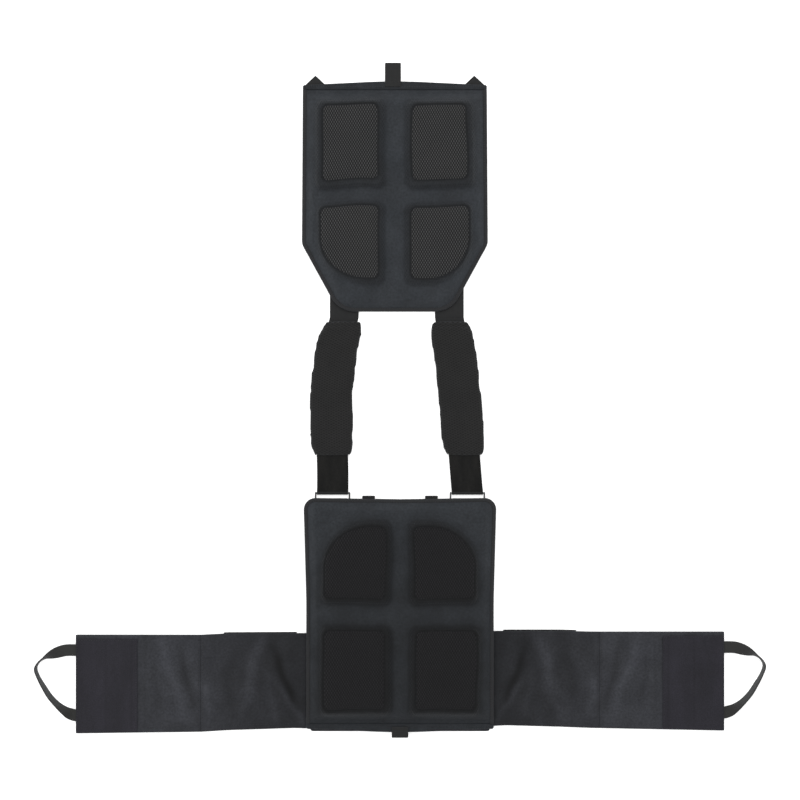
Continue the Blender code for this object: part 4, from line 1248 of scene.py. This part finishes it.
def belt_tone_and_shade(x, y):
    """The belt's colour shift: darker near the back panel and along the seam lines, lighter outward round the wing
    seam, random tone, and painted shading over the folds: lighter ridges, shaded hollows.
    """
    reach = np.abs(x)
    share = 0.46 * ease(reach, 0.250, SEAM_X + 0.020) - 0.04 - 0.35 * (1 - ease(reach, 0.155, 0.280))
    share = share + 0.10 * waves(x, y * 0.35, 0.040, 93) + 0.05 * waves(x, y, 0.030, 94)
    # painted shading of the folds: lighter on their ridges, darker in their hollows
    share = share + 0.62 * creases(reach, y, BELT_FOLDS, 1.0) * (1 - ease(reach, 0.395, 0.402))
    seam = np.exp(-((reach - SEAM_X) / 0.0018) ** 2) + np.exp(-((reach - HOOK_SEAM_X) / 0.0014) ** 2)
    return share - 0.16 * seam


def settle(piece):
    """Moves a piece of the belt to the slightly skewed lie that its edges have."""
    place = points_of(piece)
    share = np.clip((place[:, 1] - BELT_Y[0]) / (BELT_Y[1] - BELT_Y[0]), 0.0, 1.0)
    high = np.interp(place[:, 0], BELT_LIE_X, BELT_LIE_HIGH)
    low = np.interp(place[:, 0], BELT_LIE_X, BELT_LIE_LOW)
    place[:, 1] += low + (high - low) * share
    return move_points(piece, place)


def strip_joints(x):
    """1 where the strips of hook tape meet."""
    return sum(np.exp(-((np.abs(x) - joint) / 0.0009) ** 2) for joint in HOOK_JOINTS_X)


def belt_under(x, y):
    """The belt's lower height: above the outer layer near the panel, just off the floor beyond it."""
    rest = ease(np.abs(x), 0.279, 0.300)
    return BELT_LOW - 0.0013 * rest + 0 * y


def belt():
    low_y, high_y = BELT_Y
    cover = rectangle(-0.140, 0.140, low_y - 0.001, high_y + 0.012, 0.004)
    sleeve_cover = cloth("belt_cover", cover, lambda x, y: 0.0001 + 0.0002 * (waves(x, y, 0.04, 95) + 1) / 2,
                         OUTER_LAYER_HIGH, spacing=0.010)
    dress(sleeve_cover, "shell_fabric", "back_panel", "cummerbund_sleeve")
    lay_out(sleeve_cover, cover)
    grip = rectangle(-0.130, 0.130, low_y + 0.010, high_y - 0.008, 0.002)
    grip_tape = cloth("belt_grip", grip, BELT_HIGH + GAP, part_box("cummerbund_grip_tape")[1][2], spacing=0.010)
    dress(grip_tape, "hook_tape", "back_panel", "cummerbund_grip_tape")
    lay_out(grip_tape, grip)

    for side, sign in SIDES:
        def both(corners):
            return on_side(corners, sign)

        root = both(rectangle(0.0002, SEAM_X + 0.0004, low_y, high_y, 0.0))
        piece = settle(cloth(f"{side}_belt_root", root, belt_under, belt_top, spacing=0.0035, tone=belt_tone_and_shade))
        dress(piece, "belt_fabric", None, "cummerbund_centre", f"wing_panel_{side}")
        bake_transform(piece)
        lay_out(piece, root)

        span = both(rectangle(SEAM_X - 0.0004, WING_END_X, low_y, high_y, 0.0012))
        piece = settle(cloth(f"{side}_wing_cloth", span, belt_under, belt_top, spacing=0.0032, tone=belt_tone_and_shade))
        dress(piece, "belt_fabric", None, f"wing_panel_{side}", f"wing_end_{side}")
        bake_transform(piece)
        lay_out(piece, span)

        layer = both(rectangle(WING_FOLD_X + 0.003, OUTER_LAYER_END_X, low_y, high_y + 0.0015, 0.0004))
        under = settle(cloth(f"{side}_outer_layer", layer, 0.0001, OUTER_LAYER_HIGH, spacing=0.008))
        dress(under, "shell_fabric", f"{side}_wing", f"wing_outer_layer_{side}", look=LOOKS["loop_tape"])
        lay_out(under, layer)

        tape = both(rectangle(WRAP_FOLD_X + 0.0045, WING_END_X - 0.001, low_y + 0.001, high_y - 0.0065, 0.0012))
        hooks = cloth(f"{side}_hooks", tape, BELT_HIGH + GAP,
                      lambda x, y: HOOK_TAPE_HIGH + 0.0004 * waves(x, y, 0.045, 97) - 0.0005 * strip_joints(x),
                      spacing=0.0032, tone=lambda x, y: 0.05 * waves(x, y, 0.05, 98) - 0.35 * strip_joints(x))
        dress(settle(hooks), "hook_tape", f"{side}_wing_end", f"hook_tape_{side}")
        lay_out(hooks, tape)
        belt_stitches(side, sign)
        handle(side, sign)


def belt_stitches(side, sign):
    low_y, high_y = BELT_Y
    rows = []
    for y in (low_y + 0.0075, high_y - 0.0075, low_y + 0.002, high_y - 0.002):
        rows.append([(x, y) for x in np.arange(0.1725, 0.398, 0.004)])
    for x in (SEAM_X - 0.0035, SEAM_X + 0.0035, HOOK_SEAM_X):
        rows.append([(x, y) for y in np.arange(low_y + 0.003, high_y - 0.002, 0.004)])
    lines = []
    for row in rows:
        row = np.array(row) * (sign, 1)
        lines.append(np.column_stack([row, belt_top(row[:, 0], row[:, 1]) + 0.0001]))
    sewn = stitches(f"{side}_wing_stitches", lines)
    dress(settle(sewn), "belt_fabric", f"{side}_wing", look=THREAD)
    top = HOOK_TAPE_HIGH + 0.0001
    tape = rectangle(WRAP_FOLD_X + 0.0065, WING_END_X - 0.003, low_y + 0.003, high_y - 0.0085, 0.001)
    tape = looped(outline(tape)) * (sign, 1)
    lift = 0.0004 * waves(tape[:, 0], tape[:, 1], 0.045, 97)
    sewn = stitches(f"{side}_hook_stitches", [np.column_stack([tape, top + lift + 0.0001])])
    dress(settle(sewn), "hook_tape", f"{side}_wing_end", look=THREAD)


def handle(side, sign):
    """A webbing loop that turns on edge round its outer bend."""
    route = smooth_line(HANDLE_ROUTE[1:-1], 6)
    frames = []
    for k, place in enumerate(route):
        along = route[min(k + 1, len(route) - 1)].xy - route[max(k - 1, 0)].xy
        along.normalize()
        lean = math.radians(place.z)
        across = Vector((-along.y * math.cos(lean) * sign, along.x * math.cos(lean), math.sin(lean)))
        up = Vector((along.y * math.sin(lean) * sign, -along.x * math.sin(lean), math.cos(lean)))
        rise = max(BELT_MIDDLE_Z, HANDLE_WIDTH / 2 * math.sin(lean) + HANDLE_THICKNESS)
        frames.append(((sign * place.x, place.y, rise), across, up))
    strap = ribbon(f"{side}_handle", frames, HANDLE_WIDTH, HANDLE_THICKNESS, 6)
    dress(settle(strap), "handle_webbing", f"{side}_handle", f"pull_handle_{side}")
    length = path_length([middle for middle, _, _ in frames])


# ------------------------------------------------------------------ smaller webbing pieces

def drag_handle():
    """A U of doubled webbing below the back panel's top edge, and the roots that it hangs from."""
    axis_y, axis_z, thick = -0.1497, 0.0042, 0.0024
    outer, inner, end, near_y = 0.059, 0.039, -0.196, axis_y + 0.0006
    corners = [
        (outer, near_y, 0.001), (inner, near_y, 0.001), (inner, end + 0.020, 0.003),
        (-inner, end + 0.020, 0.003), (-inner, near_y, 0.001), (-outer, near_y, 0.001),
        (-outer, end, 0.009), (outer, end, 0.009),
    ]
    piece = cloth("drag_webbing", corners, axis_z - thick / 2, axis_z + thick / 2, spacing=0.004)
    dress(piece, "webbing", "drag_loop", "drag_handle")
    lay_out(piece, corners, shaped=True)
    for side, sign in SIDES:
        near, far = sorted((sign * inner, sign * outer))
        flat = rectangle(near, far, -0.170, axis_y, 0.001)
        root = cloth(f"{side}_drag_root", flat, 0.0055,
                     lambda x, y: 0.0058 + 0.0012 * ease(y, -0.1530, -0.1520), spacing=0.002)
        dress(root, "webbing", "back_panel")
        lay_out(root, flat)


def chest_details(panel):
    low = panel.z(SHELL_LOW) - GAP - 0.0013
    for side, sign in SIDES:
        x, half = sign * 0.124, 0.0165
        corners = shifted([(x - half, 0.485, 0.001), (x + half, 0.485, 0.001), (x + half, 0.491, 0.002),
                           (x, 0.5065, 0.0015), (x - half, 0.491, 0.002)], panel.centre_x)
        tip = cloth(f"{side}_corner_tip", corners, low, low + 0.0013, spacing=0.003)
        dress(tip, "webbing", "chest_panel", f"corner_tab_{side}")
        lay_out(tip, corners, shaped=True)
    field = shifted(rectangle(-0.115, 0.115, 0.215, 0.440, 0.008), panel.centre_x)
    pile = cloth("chest_pile", field, lambda x, y: 0.0001 + 0.0002 * (waves(x, y, 0.02, 99) + 1) / 2,
                 panel.z(SHELL_LOW) - GAP, spacing=0.008)
    dress(pile, "loop_tape", "chest_panel", "front_loop_field")
    lay_out(pile, field)
    edge = looped(outline(outline_inset(field, 0.003), step=0.004))
    sewn = stitches("chest_pile_stitches", [np.column_stack([edge, np.full(len(edge), 0.0001)])])
    dress(sewn, "loop_tape", "chest_panel", look=THREAD)


def hard_parts():
    for look, names in (("black_wire", ("strap_ring_left", "strap_ring_right")),
                        ("armour_plate", ("back_armour_plate", "front_armour_plate"))):
        for name in names:
            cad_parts[name].material_slots[0].material = LOOKS[look]


studio()
back = Panel("back", "back_panel", 0.0, 0.0059, [
    (0.146, -0.310, 1.0), (0.1504, -0.1523, 0.018), (0.0, -0.1544, 0.0),
    (-0.1504, -0.1523, 0.018), (-0.146, -0.310, 1.0),
], (0.146, -0.505), (-0.513, -0.518))
front = Panel("front", "chest_panel", -0.008, 0.0015, [
    (-0.145, 0.243, 0.020), (-0.0873, 0.1377, 0.043), (0.0873, 0.1377, 0.043), (0.145, 0.243, 0.020),
], (0.1435, 0.485), (0.492, 0.498))
build_panel(back, 0.026, "back_flap")
build_panel(front, 0.025, "front_flap")
straps()
belt()
drag_handle()
chest_details(front)
hard_parts()
